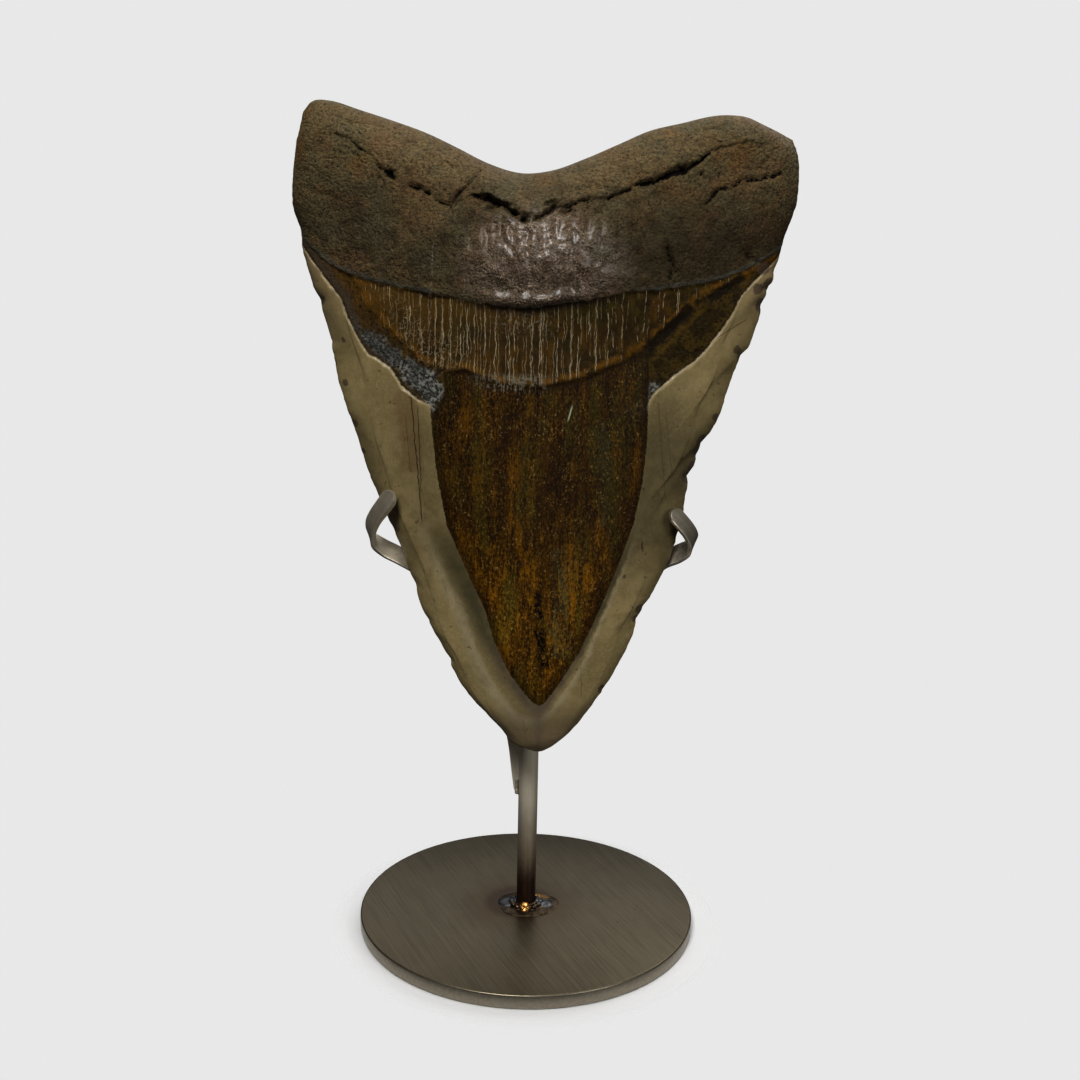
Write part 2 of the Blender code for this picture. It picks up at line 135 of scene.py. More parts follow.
FISSURE_ROW = (
    (-49.3, 120.5), (-45, 124.8), (-40.3, 126), (-33.3, 121.7), (-26.7, 117), (-22, 115), (-17.4, 113),
    (-12.6, 114.6), (-7, 112.5), (-2.4, 109.9), (4, 112.5), (12, 114.2), (20, 117.5), (28, 120.4),
    (32.8, 123.4), (39.7, 125.6), (45, 124.8), (51.3, 120.5),
)
TOP_ROW = (
    (-47.6, 131.2), (-45.8, 133.2), (-42.6, 133.5), (-36, 131.7), (-29.6, 129.8), (-23.2, 127.7),
    (-16.8, 124.9), (-10.4, 121.9), (-3.9, 120.2), (2.5, 120.9), (8.9, 123.3), (15.2, 126.1),
    (21.5, 128.9), (27.8, 130.5), (34.1, 132), (37.5, 132.2), (40.5, 131.9), (43.8, 130.6),
    (47, 129.3), (50.2, 127.8),
)
ROWS = (TIP_ROW, LEDGE_ROW, ROOT_ROW, FISSURE_ROW, TOP_ROW)
BACK_ROOT_ROW = ((-52, 109), (-40, 106.5), (-20, 103), (0, 100.5), (20, 103), (40, 106.5), (54, 109))
# Rows of fine mesh between the tip, the ledge, the root border, the fissure and the top
FINE_ROWS = (146, 36, 48, 50)
TOP_PIECE = len(FINE_ROWS) - 1
FINE_COLUMNS = 280
BACK_STEP = 2
EDGE_CROWDING = 0.55
# The pattern's place on the back, clear of the front's, and its stretch through the thickness
BACK_PATTERN_SHIFT = 211
DEPTH_STRETCH = 0.6

# ---------------------------------------------------------------- the tooth's thickness
CROWN_FRONT = (
    (-0.2, 0), (1.5, 1.9), (6, 4.2), (12, 6), (25, 8.4), (45, 10.6), (65, 12), (80, 13), (96, 13.6),
    (134, 13.6),
)
CROWN_BACK = (
    (-0.2, 0), (1.5, 1.2), (8, 2.6), (20, 3.8), (45, 5.5), (66, 6.8), (85, 6), (100, 5), (134, 4.8),
)
CROWN_ROUNDING = 0.85
ROOT_FRONT = 10.5
ROOT_BACK = 4.7
ROOT_SQUARENESS = 3.2
ROOT_BLEND = (80.0, 106.0)
BULGE_HEIGHT = 6.5
BULGE_CENTRE = (1.0, 101.0)
BULGE_SPREAD = (19.0, 13.0)
LIP_SIDES = 0.08
LIP_MIDDLE = 0.9
LIP_SPREAD = 20.0
LEDGE_RECESS = 0.7
CORE_RECESS = 0.12
BACK_LEDGE = 0.35
SMALL_HOLES = 90
FISSURE_DEPTH = (
    (-50, 0), (-42, 0.15), (-38, 0.45), (-33, 0.7), (-29, 1.3), (-25, 0.7), (-18, 0.9), (-15, 0.3),
    (-11, 1.9), (-3, 3.2), (3, 1.6), (8, 0.9), (16, 0.8), (20, 1.1), (26, 1.9), (30, 1.4), (35, 0.6),
    (42, 0.35), (46, 0), (52, 0),
)
LUMPS = (
    (-36, 118, 6, 0.8), (-22, 106, 7, 0.7), (-40, 109, 5, -0.6), (30, 108, 7, 0.7), (41, 112, 5, 0.8),
    (20, 103, 5, -0.5), (-12, 101, 4, -0.4), (38, 104, 4, -0.5), (-30, 103, 4, 0.4), (14, 109, 4, 0.5),
)
# Cracks of the root: points, half-width, depth
CRACKS = (
    (((-17.4, 112.2), (-15.6, 115), (-13.6, 116.8), (-11.6, 119.2)), 0.35, 0.7),
    (
        ((32.2, 114.3), (34.5, 116.7), (37.1, 117.3), (39.6, 118.9), (42.4, 119), (45, 119.6), (47, 120.4)),
        0.32,
        0.7,
    ),
    (((24.4, 106.8), (25.1, 104.3), (26.2, 101.9), (25.5, 99.5)), 0.3, 0.6),
    (((-41, 130), (-38, 128.5), (-33, 128), (-28, 126), (-22, 122.5), (-15, 119)), 0.25, 0.35),
    (((-47, 116), (-43, 114.5), (-39, 113.8)), 0.25, 0.3),
    (((-25, 117), (-24.5, 112), (-22.8, 107)), 0.2, 0.25),
    (((46, 125.5), (43, 121.5), (39, 120.4)), 0.25, 0.4),
    (((36, 129.5), (30, 127.5), (22, 125.5), (16, 122)), 0.25, 0.3),
)
# Holes of the root: x, height, radius, depth
PITS = (
    (-9.4, 112.6, 1.0, 2.2), (5.2, 111.6, 0.75, 1.8), (2.0, 113.0, 0.8, 1.4), (-2.4, 110.2, 1.0, 1.8),
    (41.4, 104.6, 0.9, 0.9), (43.3, 103.2, 0.6, 0.7), (25.6, 102.9, 0.55, 0.7), (24.9, 105.6, 0.4, 0.6),
    (-44.8, 113.2, 0.45, 0.5), (50.0, 124.6, 0.4, 0.6), (14.1, 121.3, 0.35, 0.4), (-6.0, 109.0, 0.45, 0.5),
    (10.6, 111.0, 0.4, 0.5), (-31.0, 118.0, 0.6, 0.8), (-36.4, 122.2, 0.5, 0.7), (31.2, 119.6, 0.7, 1.0),
)
# Cracks of the back: points, half-width, depth
BACK_CRACKS = (
    (((-4, 116), (-5, 108), (-3, 99), (-4.5, 88), (-3, 74), (-4, 58)), 0.18, 0.25),
    (((14, 112), (13, 102), (15, 92), (14, 80)), 0.16, 0.22),
    (((-20, 114), (-19, 104), (-20.5, 95)), 0.18, 0.22),
    (((30, 108), (29, 99), (30, 92)), 0.16, 0.2),
    (
        ((-46, 118), (-34, 119.5), (-22, 116), (-8, 113), (6, 113.5), (20, 116.5), (34, 120), (47, 119)),
        0.35,
        0.5,
    ),
    (((6, 100), (7, 86), (5.5, 70), (7, 52), (6, 40)), 0.12, 0.14),
    (((-12, 98), (-11, 84), (-12.5, 66)), 0.12, 0.14),
    (((22, 101), (21, 88), (22, 74)), 0.12, 0.12),
)
# Vertical wrinkles of the bulge: x at the top, x at the bottom, top, bottom, half-width, depth
WRINKLES = (
    (-10.2, -9.6, 109.5, 101, 0.5, 0.3), (-7.4, -6.4, 111, 100.5, 0.6, 0.5),
    (-4.9, -4.6, 108.4, 101.5, 0.5, 0.35), (-2.6, -1.0, 107.8, 98.2, 0.55, 0.6),
    (0.9, 1.2, 108.6, 103, 0.45, 0.35), (3.1, 3.6, 110.8, 101.5, 0.5, 0.4),
    (6.2, 6.6, 111.6, 96.5, 0.5, 0.55), (9.4, 9.2, 112.6, 106.6, 0.45, 0.45),
    (11.6, 11.9, 112.8, 105, 0.5, 0.4), (-13.6, -13, 107.4, 101.6, 0.6, 0.25),
    (15.2, 15.6, 111.5, 104.5, 0.6, 0.25),
)
# How far from the edges chips reach, as a share of the width, and how ragged the edges are
CHIP_REACH = 0.07
EDGE_RAGGEDNESS = 0.12
# Chips out of the cutting edges: height, how far in, half-length
LEFT_CHIPS = (
    (20, 0.5, 1.0), (28.4, 0.3, 0.8), (36, 0.25, 1.2), (86, 0.3, 0.9), (94.5, 0.45, 1.1), (70, 0.25, 1.5),
)
RIGHT_CHIPS = (
    (14.4, 0.4, 0.8), (29.6, 0.5, 0.9), (32.4, 0.4, 0.8), (60.4, 0.7, 1.0), (64.6, 0.5, 0.8),
    (67.6, 0.6, 1.2), (85.2, 0.5, 1.0), (95.4, 0.5, 1.0), (98.6, 0.5, 0.9), (102, 0.5, 1.2),
)

# ---------------------------------------------------------------- colours on the shown face
CORE_SIDES = (
    (-20.6, 68.5), (-19.7, 60.2), (-17.6, 49.7), (-12.6, 38.6), (-9.6, 32.4), (-7.6, 25.4), (-4.2, 18.4),
    (0.4, 12.5), (1.8, 11.6), (3.1, 12.3), (6.2, 16.9), (10.1, 23.7), (13.4, 31.2), (17.2, 40.9),
    (20.4, 50.5), (21.9, 59), (22.5, 67.3), (22.4, 75.2),
)
CORE_TOP = (
    (-11.3, 80.2), (-8.8, 79), (-5.1, 78.5), (0.1, 78.2), (6.2, 79.5), (10.1, 80.6), (13.4, 82.1),
    (17.2, 83.6),
)
CORE_BORDER = (
    (-18.4, 80.6), (-18, 76.4), (-20.3, 72.5), *CORE_SIDES, (22.1, 86.4), *reversed(CORE_TOP), (-14, 81.5),
)
ENAMEL_BORDER = (
    (-48.1, 105.5), (-46.5, 103.4), (-44.5, 100.8), (-41.8, 97.5), (-39.4, 94.5), (-38, 90.6), (-35.9, 86.6),
    (-33.9, 83.6), (-32.2, 83), (-29.2, 81), (-27.1, 77.6), (-23.6, 75), (-21.1, 74), *CORE_SIDES,
    (23.4, 77), (25.4, 78.9), (28.4, 81.4), (31.4, 83.5), (33.9, 86), (35.7, 88.5), (38.6, 92.6),
    (40.4, 96.6), (42.9, 99.5), (45.8, 102.3), (48.7, 105.4),
)
# Corners that close the enamel's border above the tooth
ABOVE = ((70, 106), (70, 150), (-70, 150), (-70, 106))
OCHRE_LINE = (
    (-52, 108), (-42.8, 105.4), (-39, 102.1), (-33.7, 92.7), (-27.9, 87.1), (-23, 82.4), (-18.1, 81),
    (-14, 81.3), *CORE_TOP, (21.6, 86.8), (28.9, 93.2), (32.9, 96.7), (39.1, 99.6), (46, 103.1), (54, 108),
)
GREY_PATCH = (
    (-38, 92.2), (-35.1, 89.6), (-31.2, 87.7), (-28.1, 85.7), (-23, 82.4), (-18.7, 80), (-18, 76.4),
    (-20.7, 72.2), (-22.3, 75), (-26.1, 78), (-30.2, 82.2), (-34.3, 84.6), (-36.7, 88.2),
)
# Dark hairlines of the enamel: ends, half-width, darkness
HAIRLINES = (
    (((-25.0, 76), (-22.8, 50)), 0.16, 0.8),
    (((-23.6, 74), (-23.0, 56)), 0.14, 0.7),
    (((-26.2, 72), (-25.2, 60)), 0.1, 0.5),
    (((24.4, 76), (27.0, 55)), 0.1, 0.45),
    (((26.0, 74), (28.2, 60)), 0.1, 0.35),
    (((-1.4, 9), (-0.4, 2)), 0.1, 0.3),
    (((10.4, 22), (10.8, 13)), 0.1, 0.4),
    (((22.3, 47), (22.6, 44.6)), 0.2, 0.9),
)
# Pale upright lines from the root down across the band: ends
PALE_LINES = (
    ((-20.5, 106), (-21.4, 82)),
    ((-0.6, 105), (-2.8, 90)),
    ((6.3, 104), (6.7, 91)),
    ((-14, 101), (-14.6, 95)),
)
# Green and black streaks of the core: ends, half-width
GREEN_STREAKS = ((((5.2, 46), (6.2, 22)), 2.4), (((13.2, 72), (14.6, 50)), 1.8))
BLACK_STREAKS = ((((1.0, 37), (1.9, 30)), 1.1), (((1.4, 29), (3.2, 20)), 1.5))
# Dark and golden slanting lines along the band's lower border, right of the middle: ends, half-width
CHEVRON = ((((21.4, 85.4), (30.4, 94.6)), 1.3), (((33.6, 95.8), (40.6, 100.8)), 1.1))
GOLDEN = ((((16.2, 82.4), (22.6, 83.8)), 0.7), (((22.6, 83.8), (33.2, 94.4)), 0.6))
# Dark stains: x, height, radius
STAINS = (
    (-39.2, 86.5, 0.5), (-39.2, 77.9, 0.7), (-37.4, 69.6, 0.9), (-43.6, 94.4, 0.9), (-17.6, 19.6, 0.6),
    (44.8, 102.3, 1.3), (46.2, 99.6, 1.2), (43.9, 98.3, 1.1), (44.9, 95.3, 1.4), (40.5, 86.1, 0.9),
    (41.6, 84.7, 1.1), (34.2, 67.6, 1.3), (33.4, 65.4, 1.0), (32.6, 62.3, 1.1), (31.6, 59.8, 1.2),
    (22.6, 32, 1.0), (22.0, 29.6, 0.9), (15.2, 14.4, 0.9), (-48, 100, 0.9), (36.9, 72.5, 0.8),
    (-41.5, 82, 0.6), (-35.6, 64, 0.6), (-29.5, 52.6, 0.6), (18.9, 39.6, 0.5),
)


def put(tree, socket, value):
    if isinstance(value, Value):
        tree.links.new(value.socket, socket)
    elif socket.type == "RGBA" and len(value) == 3:
        socket.default_value = (*value, 1)
    else:
        socket.default_value = value


def node(tree, kind, settings=None, inputs=None, out=0):
    """Any node: its settings first, then its sockets by name or number, then the wanted output."""
    made = tree.nodes.new(kind)
    for name, setting in (settings or {}).items():
        setattr(made, name, setting)
    for key, value in (inputs or {}).items():
        put(tree, made.inputs[key], value)
    return Value(tree, made.outputs[out])


class Value:
    """A socket that takes part in ordinary arithmetic."""

    def __init__(self, tree, socket):
        self.tree = tree
        self.socket = socket

    def math(self, operation, *others):
        return node(self.tree, "ShaderNodeMath", {"operation": operation}, dict(enumerate((self, *others))))

    def turned(self, operation, other):
        return node(self.tree, "ShaderNodeMath", {"operation": operation}, {0: other, 1: self})

    def __add__(self, other):
        return self.math("ADD", other)

    __radd__ = __add__

    def __sub__(self, other):
        return self.math("SUBTRACT", other)

    def __rsub__(self, other):
        return self.turned("SUBTRACT", other)

    def __mul__(self, other):
        return self.math("MULTIPLY", other)

    __rmul__ = __mul__

    def __truediv__(self, other):
        return self.math("DIVIDE", other)

    def __rtruediv__(self, other):
        return self.turned("DIVIDE", other)

    def __pow__(self, other):
        return self.math("POWER", other)

    def __abs__(self):
        return self.math("ABSOLUTE")

    def atleast(self, other):
        return self.math("MAXIMUM", other)

    def atmost(self, other):
        return self.math("MINIMUM", other)

    def rise(self, low, high):
        """0 below low, 1 above high, smooth between; turned round if high is below low."""
        if low > high:
            return 1 - self.rise(high, low)
        settings = {"interpolation_type": "SMOOTHSTEP"}
        return node(self.tree, "ShaderNodeMapRange", settings, {0: self, 1: low, 2: high})


def finished(name, mesh):
    """A plain object at the origin that holds the finished mesh."""
    made = bpy.data.objects.new(name, mesh)
    bpy.context.scene.collection.objects.link(made)
    return made


# ---------------------------------------------------------------- surfaces


class Surface:
    """A material with one Principled shader and short names for the nodes it is made with."""

    def __init__(self, name):
        self.material = bpy.data.materials.new(name)
        self.material.use_nodes = True
        self.tree = self.material.node_tree
        self.shader = self.tree.nodes["Principled BSDF"]

    def node(self, kind, settings=None, inputs=None, out=0):
        return node(self.tree, kind, settings, inputs, out)

    def field(self, name):
        return self.node("ShaderNodeAttribute", {"attribute_name": name}, out="Fac")

    def plan(self, name):
        return self.node("ShaderNodeAttribute", {"attribute_name": name}, out="Vector")

    def place(self):
        """Object coordinates in millimetres."""
        here = self.node("ShaderNodeTexCoord", out="Object")
        return self.stretch(here, (PER_METRE, PER_METRE, PER_METRE))

    def stretch(self, vector, by):
        return self.node("ShaderNodeVectorMath", {"operation": "MULTIPLY"}, {0: vector, 1: by})

    def shift(self, vector, by):
        return self.node("ShaderNodeVectorMath", {"operation": "ADD"}, {0: vector, 1: by})

    def split(self, vector):
        return [self.node("ShaderNodeSeparateXYZ", None, {0: vector}, out) for out in range(3)]

    def join(self, x, y, z=0.0):
        return self.node("ShaderNodeCombineXYZ", None, {0: x, 1: y, 2: z})

    def noise(self, vector, scale, detail=2.0, roughness=0.5):
        inputs = {"Vector": vector, "Scale": scale, "Detail": detail, "Roughness": roughness}
        return self.node("ShaderNodeTexNoise", None, inputs)

    def cells(self, vector, scale, feature):
        settings = {"feature": feature, "voronoi_dimensions": "2D"}
        return self.node("ShaderNodeTexVoronoi", settings, {"Vector": vector, "Scale": scale})

    def blend(self, share, first, second):
        """From the first colour to the second."""
        return self.node("ShaderNodeMix", {"data_type": "RGBA"}, {0: share, 6: first, 7: second}, 2)

    def between(self, share, first, second):
        """From the first number to the second."""
        return first + (second - first) * share

    def tint(self, colour, share):
        """The colour made lighter or darker by a number."""
        return self.node("ShaderNodeVectorMath", {"operation": "SCALE"}, {0: colour, "Scale": share})

    def bump(self, height):
        """Relief whose height is in millimetres."""
        return self.node("ShaderNodeBump", None, {"Height": height, "Distance": MM, "Strength": 1.0})

    def finish(self, **sockets):
        for name, value in sockets.items():
            put(self.tree, self.shader.inputs[name.replace("_", " ")], value)
        return self.material


class Paint:
    """Two blended colours under a growing number of coats."""

    def __init__(self, surface, share, first, second):
        self.surface = surface
        self.colour = surface.blend(share, first, second)

    def coat(self, share, colour):
        """Lay a colour over the share that it covers."""
        self.colour = self.surface.blend(share, self.colour, colour)

    def tint(self, share):
        self.colour = self.surface.tint(self.colour, share)


def strongest(values):
    """The largest of several numbers at each place."""
    first, *others = values
    for other in others:
        first = first.atleast(other)
    return first


def stroke(x, z, line, width, wobble):
    """1 along a nearly upright line from (x, height) to (x, height), fading past its ends."""
    (x0, z0), (x1, z1) = line
    slope = (x1 - x0) / (z1 - z0)
    aside = abs(x - (z - z0) * slope - x0 + wobble)
    low, high = sorted((z0, z1))
    return aside.rise(width, width * 0.4) * z.rise(low - 0.5, low + 1) * z.rise(high + 0.5, high - 1)


def slanted(x, z, line, width, wobble):
    """1 near a slanting line from (x, height) to (x, height)."""
    (x0, z0), (x1, z1) = line
    length = math.hypot(x1 - x0, z1 - z0)
    along_x, along_z = (x1 - x0) / length, (z1 - z0) / length
    along = (x - x0) * along_x + (z - z0) * along_z
    aside = abs((x - x0) * along_z - (z - z0) * along_x + wobble)
    return aside.rise(width, width * 0.5) * along.rise(-0.6, 0.6) * along.rise(length + 0.6, length - 0.6)


def upright_cracks(surface, plan, x, spacing, width, seed):
    """Wavering upright hairlines that come and go, 1 on a line."""
    waver = surface.noise(surface.shift(surface.stretch(plan, (0.3, 0.25, 1)), (seed, 0, 0)), 1.0, 4, 0.6)
    at = x / spacing + waver * (1.7 / spacing) + seed
    hair = surface.node("ShaderNodeTexVoronoi", {"voronoi_dimensions": "1D"}, {"W": at, "Scale": 1.0})
    broken = surface.noise(surface.shift(surface.stretch(plan, (1.3, 0.24, 1)), (seed, 7, 0)), 1.0, 3, 0.6)
    return hair.rise(width, width * 0.4), broken


def tooth_fields(s):
    """What the regions are painted from: place, distances to borders, and noises from broad to fine."""
    plan = s.plan("plan")
    x, z, _ = s.split(plan)
    fine = s.noise(plan, 1.6, 4, 0.6)
    wander = s.noise(plan, 0.5, 3, 0.6) - 0.5
    stored = ("enamel", "core", "ochre", "root", "crack_shade", "stain", "grey", "shine")
    return {
        **{name: s.field(name) for name in stored},
        "s": s,
        "plan": plan,
        "x": x,
        "z": z,
        "broad": s.noise(plan, 0.07, 3),
        "medium": s.noise(plan, 0.35, 4),
        "fine": fine,
        "grain": s.noise(plan, 2.3, 3, 0.65),
        "upright": s.noise(s.stretch(plan, (1, 0.16, 1)), 0.8, 4, 0.65),
        "upright_fine": s.noise(s.stretch(plan, (1, 0.12, 1)), 2.6, 4, 0.65),
        "wander": wander,
        "jag": (fine - 0.5) * 1.1 + wander * 0.5,
        "sparkle": s.noise(s.shift(plan, (13, 40, 0)), 2.4, 1, 0.5),
    }


def enamel_paint(s, plan, x, z, enamel, broad, medium, fine, upright_fine, wander, **unread):
    """Olive tan, a paler band outside a greyer one along the core, smudges and hairlines, under painted shade
    and light.
    """
    band = s.between((x - 1).rise(-5, 5), 4.2, 1.1 + z.rise(32, 14) * 0.9)
    out = (enamel + wander * 1.4) / band.atleast(0.2)
    banded = z.rise(60, 34)
    paint = Paint(s, broad.rise(0.35, 0.65), (0.23, 0.18, 0.085), (0.31, 0.245, 0.12))
    paint.coat(fine.rise(0.42, 0.62) * 0.35, (0.36, 0.29, 0.155))
    pale_band = out.rise(0.8, 1.15) * out.rise(1.9, 1.15) * banded
    paint.coat(pale_band * (0.1 + 0.9 * medium).atmost(0.75), (0.42, 0.36, 0.25))
    band_colour = s.blend(z.rise(28, 18), (0.088, 0.074, 0.038), (0.098, 0.075, 0.052))
    inner = (out - z.rise(20, 32) * 0.4).rise(1.0, 0.0) * z.rise(54, 38)
    paint.coat(inner, band_colour)
    smudge = (medium * 0.6 + broad * 0.4).rise(0.5, 0.64) * fine.rise(0.35, 0.7)
    paint.coat(medium.rise(0.44, 0.58) * 0.22, (0.2, 0.16, 0.07))
    paint.coat(smudge * 0.6, (0.16, 0.11, 0.045))
    paint.coat(upright_fine.rise(0.52, 0.7) * 0.3, (0.17, 0.135, 0.06))
    paint.coat(z.rise(82, 104) * 0.4, (0.4, 0.3, 0.17))
    paint.coat(z.rise(16, 2) * 0.6, (0.2, 0.15, 0.095))
    wedge = ((abs(x - 1.9) - wander) / (z.rise(2, 13) * 2.6 + 1.2)).rise(1.0, 0.0) * z.rise(17, 11)
    paint.coat(wedge * 0.55, (0.15, 0.118, 0.088))
    # Painted shade at mid-height, deeper on the right, and painted light in a band low down; the enamel is
    # also lighter away from the core
    half_way = z.rise(34, 48) * z.rise(82, 66)
    painted_low_light = z.rise(36, 24) * z.rise(8, 16) * 0.16
    darker = half_way * (0.26 + x.rise(4, 26) * 0.26)
    paint.tint((1.08 + 0.22 * enamel.rise(2, 12)) * (1 - darker + painted_low_light))
    reddish = stroke(x, z, ((-26.5, 77), (-24.5, 60)), 3.2, wander * 4) * fine.rise(0.3, 0.6)
    paint.coat(reddish * 0.5, (0.14, 0.075, 0.03))
    lines = strongest(stroke(x, z, ends, width, wander * 0.8) * dark for ends, width, dark in HAIRLINES)
    lines = lines.atleast(slanted(x, z, ((35.4, 88.2), (42.0, 92.4)), 0.14, wander * 0.8) * 0.5)
    paint.coat(lines, (0.02, 0.014, 0.008))
    flecks = s.noise(s.shift(plan, (31, 5, 0)), 0.8, 2, 0.5).rise(0.69, 0.73)
    paint.coat(flecks * 0.5, (0.05, 0.033, 0.015))
    return paint.colour


def core_paint(s, plan, x, z, core, medium, fine, upright, upright_fine, wander, sparkle, **unread):
    """Dark brown, orange and olive streaks, green and black places, fine grit with golden glints."""
    grit = s.noise(s.stretch(plan, (1, 0.45, 1)), 2.9, 4, 0.72)
    streak = s.noise(s.stretch(plan, (1, 0.1, 1)), 0.75, 4, 0.62)
    cloud = s.noise(s.stretch(plan, (1, 0.3, 1)), 0.2, 3, 0.6) + z.rise(56, 26) * 0.07
    paint = Paint(s, upright.rise(0.36, 0.6), (0.02, 0.0075, 0.0002), (0.055, 0.024, 0.0008))
    orange = (cloud * 0.5 + streak * 0.5 + (grit - 0.5) * 0.25).rise(0.5, 0.62)
    paint.coat(orange * 0.85, (0.15, 0.066, 0.001))
    olive = s.noise(s.shift(s.stretch(plan, (1, 0.2, 1)), (60, 0, 0)), 0.24, 3, 0.6)
    paint.coat((olive + (grit - 0.5) * 0.4).rise(0.5, 0.66) * 0.7, (0.06, 0.045, 0.005))
    mossy = stroke(x, z, ((19.5, 85), (16.5, 66)), 4.5, wander * 6) * 0.8
    green = strongest(stroke(x, z, ends, width, wander * 5) for ends, width in GREEN_STREAKS)
    paint.coat(mossy * fine.rise(0.38, 0.62), (0.035, 0.028, 0.006))
    paint.coat(green * (upright * 0.5 + streak * 0.5).rise(0.4, 0.54) * 0.7, (0.046, 0.045, 0.017))
    paint.coat(upright_fine.rise(0.47, 0.36) * 0.65, (0.008, 0.003, 0.0003))
    paint.coat(grit.rise(0.48, 0.36) * 0.75, (0.007, 0.003, 0.0003))
    paint.coat(grit.rise(0.52, 0.68) * 0.55, (0.18, 0.1, 0.012))
    paint.tint(1.0 + z.rise(56, 24) * 1.2)
    black = strongest(stroke(x, z, ends, width, wander * 2) for ends, width in BLACK_STREAKS)
    paint.coat(black * fine.rise(0.38, 0.52), (0.003, 0.002, 0.001))
    glints = (sparkle * 0.5 + grit * 0.5).rise(0.57, 0.64) * medium.rise(0.38, 0.6)
    paint.coat(glints * 0.5, (0.4, 0.28, 0.11))
    paint.coat(core.rise(2.4, 0.4) * 0.6, (0.014, 0.005, 0.0006))
    scratch = stroke(x, z, ((7.2, 74.8), (6.4, 71.6)), 0.22, 0.0)
    paint.coat(scratch, (0.4, 0.42, 0.3))
    return paint.colour


def ochre_paint(s, plan, x, z, ochre, root, broad, medium, fine, upright, upright_fine, wander, **unread):
    """The band under the root: ochre brown, pale upright cracks, an orange lower rim."""
    paint = Paint(s, x.rise(14, -34), (0.04, 0.02, 0.0015), (0.075, 0.042, 0.007))
    paint.coat(upright.rise(0.42, 0.62), (0.085, 0.042, 0.002))
    paint.coat(broad.rise(0.46, 0.62) * (x + 26).rise(0, 14) * 0.7, (0.05, 0.042, 0.006))
    paint.coat(medium.rise(0.46, 0.6) * 0.7, (0.022, 0.012, 0.001))
    paint.coat(upright_fine.rise(0.5, 0.64) * 0.5, (0.02, 0.01, 0.001))
    lower_rim = (ochre + (fine - 0.5) * 2.4).rise(1.9, 0.7) * (medium * 0.6 + upright * 0.4).rise(0.4, 0.54)
    paint.coat(lower_rim * 0.8, (0.17, 0.078, 0.003))
    left_orange = (z * 0.8 - x - 103).rise(0, 8) * ochre.rise(0, 2)
    paint.coat(left_orange * medium.rise(0.42, 0.6) * 0.8, (0.22, 0.1, 0.012))
    paint.coat(root.rise(-7, -0.6) * (x - 8).rise(6, -20) * 0.45, (0.13, 0.072, 0.012))
    middle = (abs(x + 5) - 24).rise(4, -16)
    bold, bold_breaks = upright_cracks(s, plan, x, 1.9, 0.06, 3)
    thin, thin_breaks = upright_cracks(s, plan, x, 0.85, 0.085, 9)
    bold = bold * (bold_breaks + middle * 0.12).rise(0.52, 0.6)
    thin = thin * (thin_breaks + (abs(x + 9) - 26).rise(6, -14) * 0.12).rise(0.53, 0.62)
    cracks = (bold * (0.1 + fine * 1.5)).atleast(thin * (fine * 1.2))
    crazed = s.cells(s.join(x + wander * 1.6, z + wander * 2.2), 0.9, "DISTANCE_TO_EDGE")
    crazed = crazed.rise(0.07, 0.02) * (abs(x + 22) - 9).rise(2, -6) * ochre.rise(8, 4) * fine.rise(0.4, 0.6)
    cracks = cracks.atleast(crazed * 0.8)
    paint.coat(cracks.atmost(1), (0.38, 0.31, 0.2))
    dusty = stroke(x * 0.25, z, ((-0.6, 88), (-0.6, 93)), 2.0, 0.0)
    paint.coat(dusty * fine.rise(0.52, 0.64) * 0.6, (0.2, 0.19, 0.15))
    return paint.colour


def rough_paint(s, x, z, enamel, grey, medium, fine, grain, upright_fine, wander, jag, **unread):
    """Between the band and the enamel: brown left, mossy right, a sparkling grey patch."""
    paint = Paint(s, x.rise(10, -30), (0.034, 0.021, 0.0025), (0.055, 0.033, 0.01))
    paint.coat(medium.rise(0.44, 0.6), (0.075, 0.045, 0.006))
    paint.coat(fine.rise(0.5, 0.36) * 0.8, (0.008, 0.005, 0.001))
    paint.coat(x.rise(-28, -38) * upright_fine.rise(0.45, 0.58) * 0.8, (0.13, 0.06, 0.012))
    dull_strip = x.rise(-30, -38) * enamel.rise(-3.2, -1.2)
    paint.coat(dull_strip * 0.8, (0.075, 0.055, 0.035))
    speck = (grain * 0.35 + fine * 0.65).rise(0.42, 0.64)
    grey_colour = s.blend(speck, (0.034, 0.033, 0.03), (0.16, 0.157, 0.138))
    pale_grey = (medium * 1.2 + (x + 30) * 0.016).rise(0.56, 0.74) * fine.rise(0.44, 0.6)
    grey_colour = s.blend(pale_grey, grey_colour, (0.25, 0.25, 0.215))
    is_grey = (grey + wander * 5 + jag).rise(-0.5, 1.3)
    small_grey = slanted(x, z, ((20.8, 76.0), (24.2, 79.2)), 1.1, wander * 2) * 0.8
    paint.coat(is_grey.atleast(small_grey), grey_colour)
    return paint.colour


